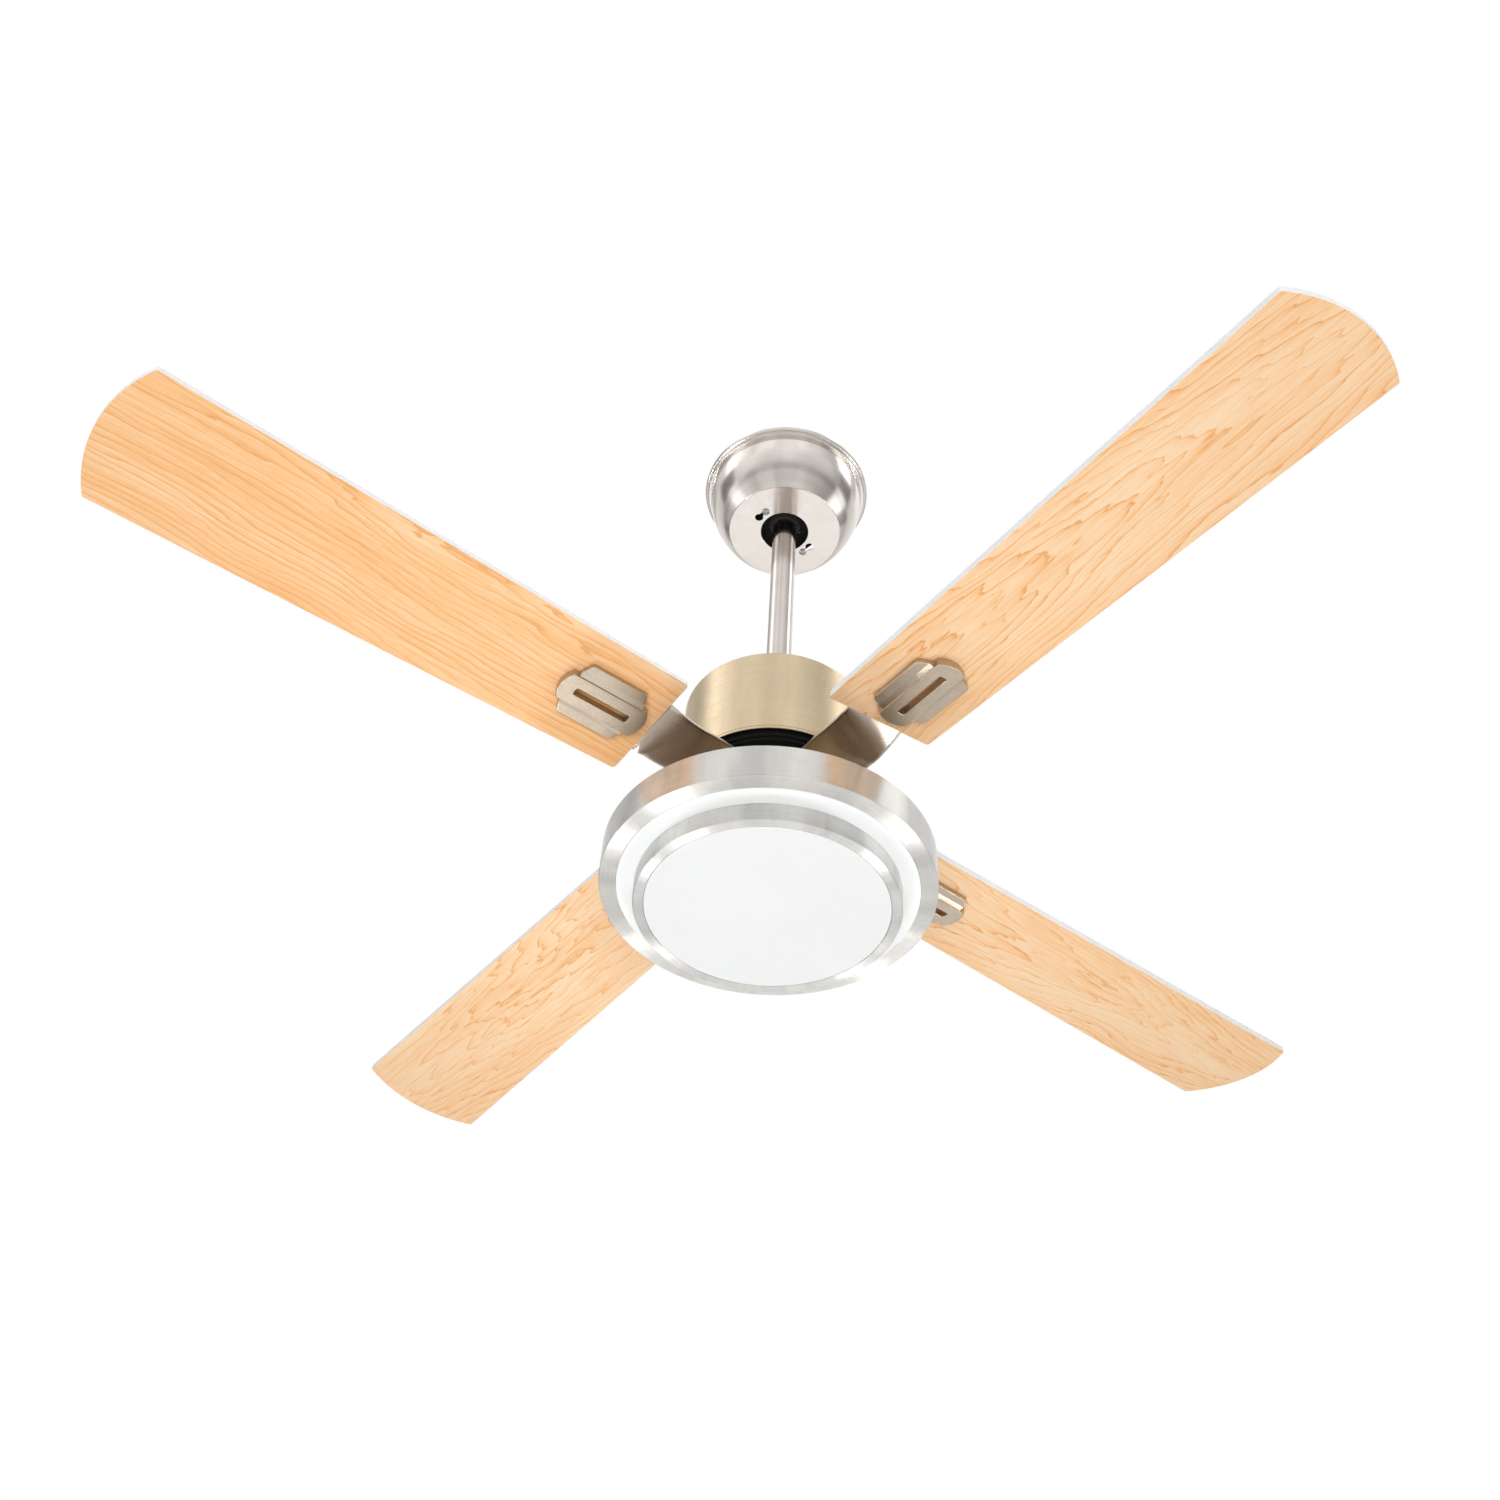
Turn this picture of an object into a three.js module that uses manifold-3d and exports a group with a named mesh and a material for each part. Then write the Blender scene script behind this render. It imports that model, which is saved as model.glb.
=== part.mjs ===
// Ceiling fan with a round light: four pitched blades on an external-rotor motor, hung on a rod from a
// ceiling bracket. Units are millimetres and +Z is up. The origin is the middle of the ceiling bracket's
// top face, where it meets the ceiling, so everything hangs below z = 0.
import * as THREE from 'three';
import { mergeVertices } from 'three/addons/utils/BufferGeometryUtils.js';
import Module from 'manifold-3d';

const wasm = await Module();
wasm.setup();

// ---------------------------------------------------------------------------------------------------
// Driving dimensions
// ---------------------------------------------------------------------------------------------------
const FIT = 0.3;                    // gap left between fixed pieces that touch
const SHEET = 1.2;                  // thickness of the pressed metal covers
const EPS = 1;                      // overrun of a cutter past the face it cuts
const SIDES = { large: 40, medium: 30, small: 20, hole: 8, screw: 8 };   // sides of the round pieces

// Ceiling mount
const BRACKET = { length: 96, width: 34, plate: 2.5, legX: 26, legPlate: 3, turn: 150 };
const SEAT = { flangeR: 40, flange: 2.5, outerR: 26.5, gap: 0.5, top: 6, bottom: 12 };
const CEILING_SLOT = { x: 39, length: 10, width: 5.2 };
const CANOPY = { rimR: 91, bowlR: 84, baseR: 61, depth: 70, lip: 10, holeR: 26, skin: 1, bowlTurn: 57 };
const CANOPY_SCREW = { x: 34, r: 2, headR: 4, head: 2, length: 15.5 };
const KEYHOLE = { screwTurn: 60, openTurn: 42, openR: 4.6, slotR: 2.4 };
const BALL = { r: 22, z: -46, pinHalf: 20 };

// Drop rod and motor coupling
const ROD = { r: 12.75, boreR: 10.5, topZ: -31, bottomZ: -399.5 };
const YOKE = { topZ: -367.8, bottomZ: -412, r: 19, flangeR: 34, flange: 5.2, pinZ: -385, screwR: 27 };
const PIN = { r: 3, headR: 5, head: 2 };
const CLIP = { r: 0.8, holeR: 1.1, half: 8, inset: 3 };
const SCREW_HOLE_R = 2.4;
const SHAFT = { r: 8.5, boreR: 4.5, topZ: -402.3, bottomZ: -562 };

// Motor
const COVER_SCREW = { r: 2, headR: 3.8, head: 2, length: 7 };
const COVER = { r: 88.4, topZ: -366.3, bottomZ: -468.2, edge: 3.5, holeR: 14.5 };
const ROTOR = { r: 84, bottomZ: -474.2, splitZ: -445, topZ: -415.5, skin: 2.6, floor: 5, hubR: 22 };
const BEARING = { r: 16, width: 8 };
const CORE = { outerR: 81, innerR: 74, statorR: 73.2, topZ: -430, bottomZ: -460, slots: 12, slotRingR: 61 };
const COIL = { innerR: 50, outerR: 70, legR: 4.4, height: 6 };

// Switch housing and light
const HOUSING = { r: 60, topZ: -484, bottomZ: -552.4 };
const SWITCH = { z: -516, travel: 6, slot: 12.4, slotHeight: 5.2 };
const SWITCH_BOX = { half: 11, frontY: -57.2, backY: -47, halfHeight: 6 };
const TRACK = { half: 6, backY: -54, halfHeight: 1.8 };
const KNOB = { half: 2.3, frontY: -63, backY: -57.6, halfHeight: 2.1 };
const STEM = { half: 2, backY: -54.4, halfHeight: 1.4 };
const CAPACITOR = { nearX: -26, farX: -43, half: 17, corner: 4, bottomZ: -532, topZ: -504 };
const PAN = { r: 148.4, topZ: -552.7, rim: 9.3 };
const UPPER_RING = { r: 150, topZ: -552.7, bottomZ: -587, lipR: 134.6 };
const LOWER_RING = { r: 118.4, topZ: -584.9, bottomZ: -607.1, lipR: 109, hookR: 124 };
const NUT = { r: 13, height: 6 };
const LAMP_BOARD = { innerR: 20, outerR: 100, thick: 1.6 };
const DIFFUSER = { rimR: 146, thick: 2.2 };
const DISC = { sag: 1.6, thick: 2.4 };

// Blades: each lies in a plane that is pitched about its own length and droops a little to the tip
const BLADES = { count: 4, firstTurn: 45, pitch: 7.33, droop: 0.75, side: 7.6, z: -476.6, thick: 6 };
const BLADE = { rootX: 143.3, rootWidth: 115.5, tipX: 642, tipWidth: 135.4, apexX: 660, corner: 3.5 };
const ARM = { innerX: 46, outerX: 246, lowY: -32.3, highY: 28.9, thick: 2.5, z: -477 };
const FOLD = { lowX: 130, highX: 110, bladeX: 141 };
const MEDAL = { x: 196.6, y: 1, bar: 85, barWidth: 30.5, barDrop: 8.3, endSag: 4, plateDrop: 5 };
const WING = { innerLength: 67.5, outerLength: 56.2, width: 60 };
const SLOT = { length: 55, width: 7.6 };
const BLADE_SCREW = { inset: 8, r: 2, headR: 4.4, head: 2 };
const ARM_SCREW = { x: 57, y: 14, r: 2.2, headR: 4.4, head: 2.2, length: 7 };

const LOOKS = {
  nickel: { color: 0xb9b2ab, roughness: 0.28, metalness: 1 },
  champagne: { color: 0xc9bb9c, roughness: 0.34, metalness: 1 },
  bronze: { color: 0x9c8b7c, roughness: 0.35, metalness: 1 },
  aluminium: { color: 0xcfd2d0, roughness: 0.3, metalness: 1 },
  steel: { color: 0x8e9092, roughness: 0.4, metalness: 1 },
  black: { color: 0x14161a, roughness: 0.45, metalness: 0.2 },
  rubber: { color: 0x1d1c1c, roughness: 0.8, metalness: 0 },
  copper: { color: 0xa85a2c, roughness: 0.4, metalness: 1 },
  opal: { color: 0xf3f4f3, roughness: 0.35, metalness: 0 },
  plastic: { color: 0xe9e9e6, roughness: 0.5, metalness: 0 },
  wood: { color: 0xf5c491, roughness: 0.45, metalness: 0 },
};

// ---------------------------------------------------------------------------------------------------
// Shape helpers
// ---------------------------------------------------------------------------------------------------
const rad = THREE.MathUtils.degToRad;

// Keeps only positions, shares the vertices and drops the empty triangles that meet the axis
function weld(geometry) {
  const bare = geometry.clone();
  bare.deleteAttribute('normal');
  bare.deleteAttribute('uv');
  const merged = mergeVertices(bare, 1e-4);
  const index = merged.index.array;
  const kept = [];
  for (let i = 0; i < index.length; i += 3) {
    const [a, b, c] = [index[i], index[i + 1], index[i + 2]];
    if (a !== b && b !== c && c !== a) kept.push(a, b, c);
  }
  merged.setIndex(kept);
  return merged;
}

function toSolid(geometry) {
  const merged = weld(geometry);
  const vertProperties = new Float32Array(merged.attributes.position.array);
  const triVerts = new Uint32Array(merged.index.array);
  return new wasm.Manifold(new wasm.Mesh({ numProp: 3, vertProperties, triVerts }));
}

function toGeometry(solid) {
  const mesh = solid.getMesh();
  const geometry = new THREE.BufferGeometry();
  geometry.setAttribute('position', new THREE.BufferAttribute(new Float32Array(mesh.vertProperties), 3));
  geometry.setIndex(Array.from(mesh.triVerts));
  geometry.computeVertexNormals();
  return geometry;
}

function cut(geometry, ...cutters) {
  let solid = toSolid(geometry);
  for (const cutter of cutters) solid = solid.subtract(toSolid(cutter));
  return toGeometry(solid);
}

function join(first, ...others) {
  let solid = toSolid(first);
  for (const other of others) solid = solid.add(toSolid(other));
  return toGeometry(solid);
}

// Turns an outline of [radius, z] points about the Z axis; the outline runs up its outer side
function turned(outline, segments = SIDES.medium) {
  const points = outline.map(([r, z]) => new THREE.Vector2(r, z));
  if (outline[0][0] > 0) points.push(points[0].clone());
  return weld(new THREE.LatheGeometry(points, segments).rotateX(Math.PI / 2));
}

// A plain cylinder along Z from z0 to z1
function drum(radius, z0, z1, segments = SIDES.hole) {
  const geometry = new THREE.CylinderGeometry(radius, radius, z1 - z0, segments);
  return geometry.rotateX(Math.PI / 2).translate(0, 0, (z0 + z1) / 2);
}

// A plain cylinder along X from x0 to x1, at height z
function bolt(radius, x0, x1, z, segments = 12) {
  const geometry = new THREE.CylinderGeometry(radius, radius, x1 - x0, segments);
  return geometry.rotateZ(Math.PI / 2).translate((x0 + x1) / 2, 0, z);
}

function block(x0, x1, y0, y1, z0, z1) {
  const geometry = new THREE.BoxGeometry(x1 - x0, y1 - y0, z1 - z0);
  return geometry.translate((x0 + x1) / 2, (y0 + y1) / 2, (z0 + z1) / 2);
}

// A flat shape given thickness from z0 up to z1
function plate(shape, z0, z1, curveSegments = 6) {
  const options = { depth: z1 - z0, bevelEnabled: false, curveSegments };
  return new THREE.ExtrudeGeometry(shape, options).translate(0, 0, z0);
}

// A shape through the corner points, with the listed radius at each corner
function roundedShape(corners) {
  const shape = new THREE.Shape();
  const count = corners.length;
  corners.forEach(([x, y, radius], i) => {
    const here = new THREE.Vector2(x, y);
    const before = new THREE.Vector2(...corners[(i + count - 1) % count]);
    const after = new THREE.Vector2(...corners[(i + 1) % count]);
    const start = here.clone().add(before.sub(here).setLength(radius));
    const end = here.clone().add(after.sub(here).setLength(radius));
    if (i === 0) shape.moveTo(start.x, start.y);
    else shape.lineTo(start.x, start.y);
    shape.quadraticCurveTo(x, y, end.x, end.y);
  });
  shape.closePath();
  return shape;
}

// Points along an elliptical quarter from angle a0 to a1 (degrees)
function arc(cx, cz, rx, rz, a0, a1, steps) {
  return Array.from({ length: steps + 1 }, (unused, i) => {
    const a = rad(a0 + ((a1 - a0) * i) / steps);
    return [cx + rx * Math.cos(a), cz + rz * Math.sin(a)];
  });
}

// A screw along +Z: the head's seat is at z = 0, the head below it and the shank above
function screw({ r, headR, head }, length) {
  return turned([[0, -head], [headR, -head], [headR, 0], [r, 0], [r, length], [0, length]], SIDES.screw);
}

// ---------------------------------------------------------------------------------------------------
// The object, as a tree of groups
// ---------------------------------------------------------------------------------------------------
const fan = new THREE.Group();

function add(name, geometry, look, parent = fan) {
  const mesh = new THREE.Mesh(geometry, new THREE.MeshStandardMaterial(LOOKS[look]));
  mesh.name = name;
  parent.add(mesh);
  return mesh;
}

function turnedGroup(degrees, parent = fan) {
  const group = new THREE.Group();
  group.rotation.z = rad(degrees);
  parent.add(group);
  return group;
}

// ---- Ceiling mount --------------------------------------------------------------------------------
const seatZ = BALL.z - SEAT.bottom;

function hangerBracket() {
  const { length, width, plate: top, legX, legPlate } = BRACKET;
  const { flangeR, flange, outerR, gap } = SEAT;
  const socketR = BALL.r + gap;
  const a0 = -THREE.MathUtils.radToDeg(Math.asin(SEAT.bottom / socketR));
  const a1 = -THREE.MathUtils.radToDeg(Math.asin(SEAT.top / socketR));
  const socket = arc(0, BALL.z, socketR, socketR, a1, a0, 3);
  const seatTopZ = BALL.z - SEAT.top;
  const flangeZ = seatZ + flange;
  const seat = turned([
    ...socket, [flangeR, seatZ], [flangeR, flangeZ], [outerR, flangeZ], [outerR, seatTopZ],
  ]);
  const plateShape = roundedShape([
    [-length / 2, -width / 2, 8], [length / 2, -width / 2, 8],
    [length / 2, width / 2, 8], [-length / 2, width / 2, 8],
  ]);
  const legs = [-1, 1].map((side) => {
    const near = side * legX;
    const far = side * (legX + legPlate);
    return block(Math.min(near, far), Math.max(near, far), -width / 2, width / 2, flangeZ - 1, -1);
  });
  const slotX = CEILING_SLOT.length / 2;
  const slotY = CEILING_SLOT.width / 2;
  const ceilingSlots = [-1, 1].map((side) => {
    return block(-slotX, slotX, -slotY, slotY, -top - EPS, EPS).translate(side * CEILING_SLOT.x, 0, 0);
  });
  const screwTurn = KEYHOLE.screwTurn - BRACKET.turn;
  const screwHoles = [0, 180].map((turn) => {
    const hole = drum(SCREW_HOLE_R, seatZ - EPS, flangeZ + EPS);
    return hole.translate(CANOPY_SCREW.x, 0, 0).rotateZ(rad(screwTurn + turn));
  });
  return cut(join(seat, plate(plateShape, -top, 0), ...legs), ...ceilingSlots, ...screwHoles);
}

// A bowl that curves in from two beads at its rim to a crisp edge round its flat base
function canopy() {
  const { rimR, bowlR, baseR, depth, lip, holeR, skin, bowlTurn } = CANOPY;
  const lean = Math.cos(rad(bowlTurn));
  const middleR = (baseR - bowlR * lean) / (1 - lean);
  const outerHeight = (depth - lip) / Math.sin(rad(bowlTurn));
  const innerHeight = (depth - lip - skin) / Math.sin(rad(bowlTurn));
  const bowl = arc(middleR, -lip, bowlR - middleR, outerHeight, -bowlTurn, 0, 6);
  const inside = arc(middleR, -lip, bowlR - middleR - skin, innerHeight, 0, -bowlTurn, 4);
  const beads = [
    [rimR - 1.4, -lip + 1.4], [rimR - 1.2, -lip + 3.6], [rimR - 2.6, -lip + 4.6], [rimR, -lip + 5.8],
    [rimR - 0.6, -1],
  ];
  const shell = turned([
    [holeR, -depth], ...bowl, ...beads, [rimR - 3, -1], ...inside, [holeR, -depth + skin],
  ]);
  const cutters = [0, 180].flatMap((turn) => keyhole(turn));
  return cut(shell, ...cutters);
}

// A keyhole through the canopy's flat base: a round opening that runs into a narrow slot
function keyhole(turn) {
  const { screwTurn, openTurn, openR, slotR } = KEYHOLE;
  const z0 = -CANOPY.depth - EPS;
  const z1 = -CANOPY.depth + CANOPY.skin + EPS;
  const place = (geometry, degrees) => {
    return geometry.translate(CANOPY_SCREW.x, 0, 0).rotateZ(rad(degrees + turn));
  };
  const opening = place(drum(openR, z0, z1), openTurn);
  const steps = 3;
  const slot = Array.from({ length: steps + 1 }, (unused, i) => {
    return place(drum(slotR, z0, z1), openTurn + ((screwTurn - openTurn) * (i + 1)) / (steps + 1));
  });
  return [opening, ...slot];
}

const mount = turnedGroup(BRACKET.turn);
add('hanger_bracket', hangerBracket(), 'black', mount);
add('canopy', canopy(), 'nickel');
[0, 180].forEach((turn, i) => {
  const screwGroup = turnedGroup(KEYHOLE.screwTurn + turn);
  const body = screw(CANOPY_SCREW, CANOPY_SCREW.length);
  const mesh = add(`canopy_screw_${i + 1}`, body, 'nickel', screwGroup);
  mesh.position.set(CANOPY_SCREW.x, 0, -CANOPY.depth - FIT);
});

// ---- Ball, drop rod and coupling ------------------------------------------------------------------
const rodBoreR = ROD.r + FIT;
const ballHalf = THREE.MathUtils.radToDeg(Math.acos(rodBoreR / BALL.r));
const ballBody = turned(arc(0, BALL.z, BALL.r, BALL.r, -ballHalf, ballHalf, 7), 28);
add('hanger_ball', cut(ballBody, bolt(PIN.r + FIT, -BALL.r - EPS, BALL.r + EPS, BALL.z)), 'rubber');
add('ball_pin', bolt(PIN.r, -BALL.pinHalf, BALL.pinHalf, BALL.z), 'steel');

const tube = turned([
  [ROD.boreR, ROD.bottomZ], [ROD.r, ROD.bottomZ], [ROD.r, ROD.topZ], [ROD.boreR, ROD.topZ],
], SIDES.small);
const crossHoles = [BALL.z, YOKE.pinZ].map((z) => bolt(PIN.r + FIT, -ROD.r - EPS, ROD.r + EPS, z));
add('downrod', cut(tube, ...crossHoles), 'nickel');

function motorYoke() {
  const boreZ = ROD.bottomZ - 2.5;
  const flangeZ = YOKE.topZ - YOKE.flange;
  const shaftHoleR = SHAFT.r + FIT;
  const body = turned([
    [shaftHoleR, YOKE.bottomZ], [YOKE.r, YOKE.bottomZ], [YOKE.r, flangeZ], [YOKE.flangeR, flangeZ],
    [YOKE.flangeR, YOKE.topZ], [rodBoreR, YOKE.topZ], [rodBoreR, boreZ], [shaftHoleR, boreZ],
  ], SIDES.small);
  const pinHole = bolt(PIN.r + FIT, -YOKE.r - EPS, YOKE.r + EPS, YOKE.pinZ);
  const screwHoles = [-1, 1].map((side) => {
    return drum(SCREW_HOLE_R, flangeZ - EPS, YOKE.topZ + EPS).translate(0, side * YOKE.screwR, 0);
  });
  return cut(body, pinHole, ...screwHoles);
}

add('motor_yoke', motorYoke(), 'steel');
const pinHead = bolt(PIN.headR, -YOKE.r - FIT - PIN.head, -YOKE.r - FIT, YOKE.pinZ);
const pinBody = bolt(PIN.r, -YOKE.r - FIT - EPS, YOKE.r + 2 * CLIP.inset, YOKE.pinZ);
const clipX = YOKE.r + CLIP.inset;
const clipHole = drum(CLIP.holeR, YOKE.pinZ - 2 * PIN.r, YOKE.pinZ + 2 * PIN.r).translate(clipX, 0, 0);
add('yoke_pin', cut(join(pinBody, pinHead), clipHole), 'steel');
const clip = drum(CLIP.r, YOKE.pinZ - CLIP.half, YOKE.pinZ + CLIP.half).translate(clipX, 0, 0);
add('yoke_clip', clip, 'steel');

// ---- Motor: fixed pieces --------------------------------------------------------------------------
function motorCover() {
  const { r, topZ, bottomZ, edge, holeR } = COVER;
  const outside = arc(r - edge, topZ - edge, edge, edge, 0, 90, 2);
  const inside = arc(r - edge, topZ - edge, edge - SHEET, edge - SHEET, 90, 0, 2);
  const body = turned([
    [r - SHEET, bottomZ], [r, bottomZ], ...outside, [holeR, topZ], [holeR, topZ - SHEET], ...inside,
  ], SIDES.large);
  const screwHoles = [-1, 1].map((side) => {
    return drum(SCREW_HOLE_R, topZ - SHEET - EPS, topZ + EPS).translate(0, side * YOKE.screwR, 0);
  });
  return cut(body, ...screwHoles);
}

add('motor_cover', motorCover(), 'champagne');
[-1, 1].forEach((side, i) => {
  const mesh = add(`cover_screw_${i + 1}`, screw(COVER_SCREW, COVER_SCREW.length), 'nickel');
  mesh.rotation.x = Math.PI;
  mesh.position.set(0, side * YOKE.screwR, COVER.topZ + FIT);
});

const shaftOutline = [
  [SHAFT.boreR, SHAFT.bottomZ], [SHAFT.r, SHAFT.bottomZ], [SHAFT.r, SHAFT.topZ], [SHAFT.boreR, SHAFT.topZ],
];
add('motor_shaft', turned(shaftOutline, SIDES.small), 'steel');

function slotAngles() {
  return Array.from({ length: CORE.slots }, (unused, i) => (i * 2 * Math.PI) / CORE.slots);
}

function statorCore() {
  const shape = new THREE.Shape();
  shape.absarc(0, 0, CORE.statorR, 0, 2 * Math.PI, false);
  const shaftHole = new THREE.Path();
  shaftHole.absarc(0, 0, SHAFT.r + FIT, 0, 2 * Math.PI, true);
  shape.holes.push(shaftHole);
  const shaped = plate(shape, CORE.bottomZ, CORE.topZ, SIDES.small / 2);
  const slots = slotAngles().map((a) => {
    const slot = drum(COIL.legR + FIT + 0.1, CORE.bottomZ - EPS, CORE.topZ + EPS);
    return slot.translate(CORE.slotRingR * Math.cos(a), CORE.slotRingR * Math.sin(a), 0);
  });
  return cut(shaped, ...slots);
}

// The coils: an end winding above and below the core, joined through its slots
function statorWinding() {
  const { innerR, outerR, legR, height } = COIL;
  const endWinding = (z) => turned([
    [innerR, z], [outerR - 2, z], [outerR, z + height / 2], [outerR - 2, z + height], [innerR, z + height],
  ], SIDES.small);
  const below = endWinding(CORE.bottomZ - FIT - height);
  const above = endWinding(CORE.topZ + FIT);
  const legs = slotAngles().map((a) => {
    const leg = drum(legR, CORE.bottomZ - FIT - 2, CORE.topZ + FIT + 2, 8);
    return leg.translate(CORE.slotRingR * Math.cos(a), CORE.slotRingR * Math.sin(a), 0);
  });
  return join(below, above, ...legs);
}

add('stator_core', statorCore(), 'steel');
add('stator_winding', statorWinding(), 'copper');

// ---- Motor: turning pieces ------------------------------------------------------------------------
const hubHoleR = BEARING.r + FIT;
const wallR = ROTOR.r - ROTOR.skin;
const lowerFloorZ = ROTOR.bottomZ + ROTOR.floor;
const upperFloorZ = ROTOR.topZ - ROTOR.floor;
const hubHeight = BEARING.width + 1.5;

function armScrewPlaces() {
  const centreY = BLADES.side + (ARM.lowY + ARM.highY) / 2;
  return [-1, 1].map((side) => [ARM_SCREW.x, centreY + side * ARM_SCREW.y]);
}

function bladeTurns() {
  return Array.from({ length: BLADES.count }, (unused, i) => BLADES.firstTurn + (i * 360) / BLADES.count);
}

function rotorLowerShell() {
  const body = turned([
    [hubHoleR, ROTOR.bottomZ], [ROTOR.r, ROTOR.bottomZ], [ROTOR.r, ROTOR.splitZ - FIT / 2],
    [wallR, ROTOR.splitZ - FIT / 2], [wallR, lowerFloorZ], [ROTOR.hubR, lowerFloorZ],
    [ROTOR.hubR, ROTOR.bottomZ + hubHeight], [hubHoleR, ROTOR.bottomZ + hubHeight],
  ]);
  const holes = bladeTurns().flatMap((turn) => armScrewPlaces().map(([x, y]) => {
    const hole = drum(ARM_SCREW.r + FIT, ROTOR.bottomZ - EPS, lowerFloorZ + EPS);
    return hole.translate(x, y, 0).rotateZ(rad(turn));
  }));
  return cut(body, ...holes);
}

function rotorUpperShell() {
  const chamfer = 7;
  return turned([
    [wallR, ROTOR.splitZ + FIT / 2], [ROTOR.r, ROTOR.splitZ + FIT / 2], [ROTOR.r, ROTOR.topZ - chamfer],
    [ROTOR.r - chamfer, ROTOR.topZ], [hubHoleR, ROTOR.topZ], [hubHoleR, ROTOR.topZ - hubHeight],
    [ROTOR.hubR, ROTOR.topZ - hubHeight], [ROTOR.hubR, upperFloorZ], [wallR - chamfer + 1, upperFloorZ],
    [wallR, upperFloorZ - chamfer + 1],
  ]);
}

function ring(innerR, outerR, z0, z1, segments) {
  return turned([[innerR, z0], [outerR, z0], [outerR, z1], [innerR, z1]], segments);
}

add('rotor_lower_shell', rotorLowerShell(), 'black');
add('rotor_upper_shell', rotorUpperShell(), 'black');
add('rotor_core', ring(CORE.innerR, CORE.outerR, CORE.bottomZ - 1, CORE.topZ + 1, SIDES.medium), 'steel');
[['lower', ROTOR.bottomZ + 1], ['upper', ROTOR.topZ - 1 - BEARING.width]].forEach(([name, z]) => {
  add(`${name}_bearing`, ring(SHAFT.r + FIT, BEARING.r, z, z + BEARING.width, SIDES.small), 'steel');
});

// ---- Blades with their arms and medallions --------------------------------------------------------
// Blade frame: X runs out along the blade, Y across it and Z up from its underside
function bladeFrame() {
  const frame = new THREE.Group();
  frame.position.set(0, BLADES.side, BLADES.z);
  frame.rotation.set(rad(BLADES.pitch), rad(BLADES.droop), 0, 'YXZ');
  frame.updateMatrix();
  return frame;
}

function bladeScrewXs() {
  return [MEDAL.x - MEDAL.bar / 2 + BLADE_SCREW.inset, MEDAL.x + MEDAL.bar / 2 - BLADE_SCREW.inset];
}

function bladeScrewHoles(radius, z0, z1) {
  return bladeScrewXs().map((x) => drum(radius, z0, z1).translate(x, MEDAL.y, 0));
}

function bladeBoard() {
  const { rootX, rootWidth, tipX, tipWidth, apexX, corner } = BLADE;
  const half = tipWidth / 2;
  const sag = apexX - tipX;
  const tipR = (half * half + sag * sag) / (2 * sag);
  const spread = Math.asin(half / tipR);
  const trim = (corner * 1.2) / tipR;
  const shape = new THREE.Shape();
  shape.moveTo(rootX, rootWidth / 2 - corner);
  shape.lineTo(rootX, -rootWidth / 2 + corner);
  shape.quadraticCurveTo(rootX, -rootWidth / 2, rootX + corner, -rootWidth / 2);
  shape.lineTo(tipX - corner, -half);
  const arcStartX = apexX - tipR + tipR * Math.cos(spread - trim);
  const arcStartY = tipR * Math.sin(spread - trim);
  shape.quadraticCurveTo(tipX, -half, arcStartX, -arcStartY);
  shape.absarc(apexX - tipR, 0, tipR, -spread + trim, spread - trim, false);
  shape.quadraticCurveTo(tipX, half, tipX - corner, half);
  shape.lineTo(rootX + corner, rootWidth / 2);
  shape.quadraticCurveTo(rootX, rootWidth / 2, rootX, rootWidth / 2 - corner);
  const holes = bladeScrewHoles(BLADE_SCREW.r + 0.7, -EPS, BLADES.thick + EPS);
  return cut(plate(shape, 0, BLADES.thick, 5), ...holes);
}

// The stepped plate under the blade: a thick bar with bowed ends over two thinner wings
function medallion() {
  const { x, y, bar, barWidth, barDrop, endSag, plateDrop } = MEDAL;
  const barShape = new THREE.Shape();
  barShape.moveTo(-bar / 2 + endSag, -barWidth / 2);
  barShape.lineTo(bar / 2 - endSag, -barWidth / 2);
  barShape.quadraticCurveTo(bar / 2 + endSag, 0, bar / 2 - endSag, barWidth / 2);
  barShape.lineTo(-bar / 2 + endSag, barWidth / 2);
  barShape.quadraticCurveTo(-bar / 2 - endSag, 0, -bar / 2 + endSag, -barWidth / 2);
  const wings = roundedShape([
    [-WING.outerLength / 2, -WING.width / 2, 3], [WING.outerLength / 2, -WING.width / 2, 3],
    [WING.innerLength / 2, 0, 1], [WING.outerLength / 2, WING.width / 2, 3],
    [-WING.outerLength / 2, WING.width / 2, 3], [-WING.innerLength / 2, 0, 1],
  ]);
  const body = join(plate(barShape, -barDrop, -FIT, 6), plate(wings, -plateDrop, -FIT, 2));
  const slotX = SLOT.length / 2;
  const slotY = SLOT.width / 2;
  const slot = block(-slotX, slotX, -slotY, slotY, -barDrop - EPS, EPS);
  const blindHoles = bladeScrewHoles(BLADE_SCREW.r + 0.4, -plateDrop - 0.5, EPS);
  return cut(cut(body, slot).translate(x, y, 0), ...blindHoles);
}

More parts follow.
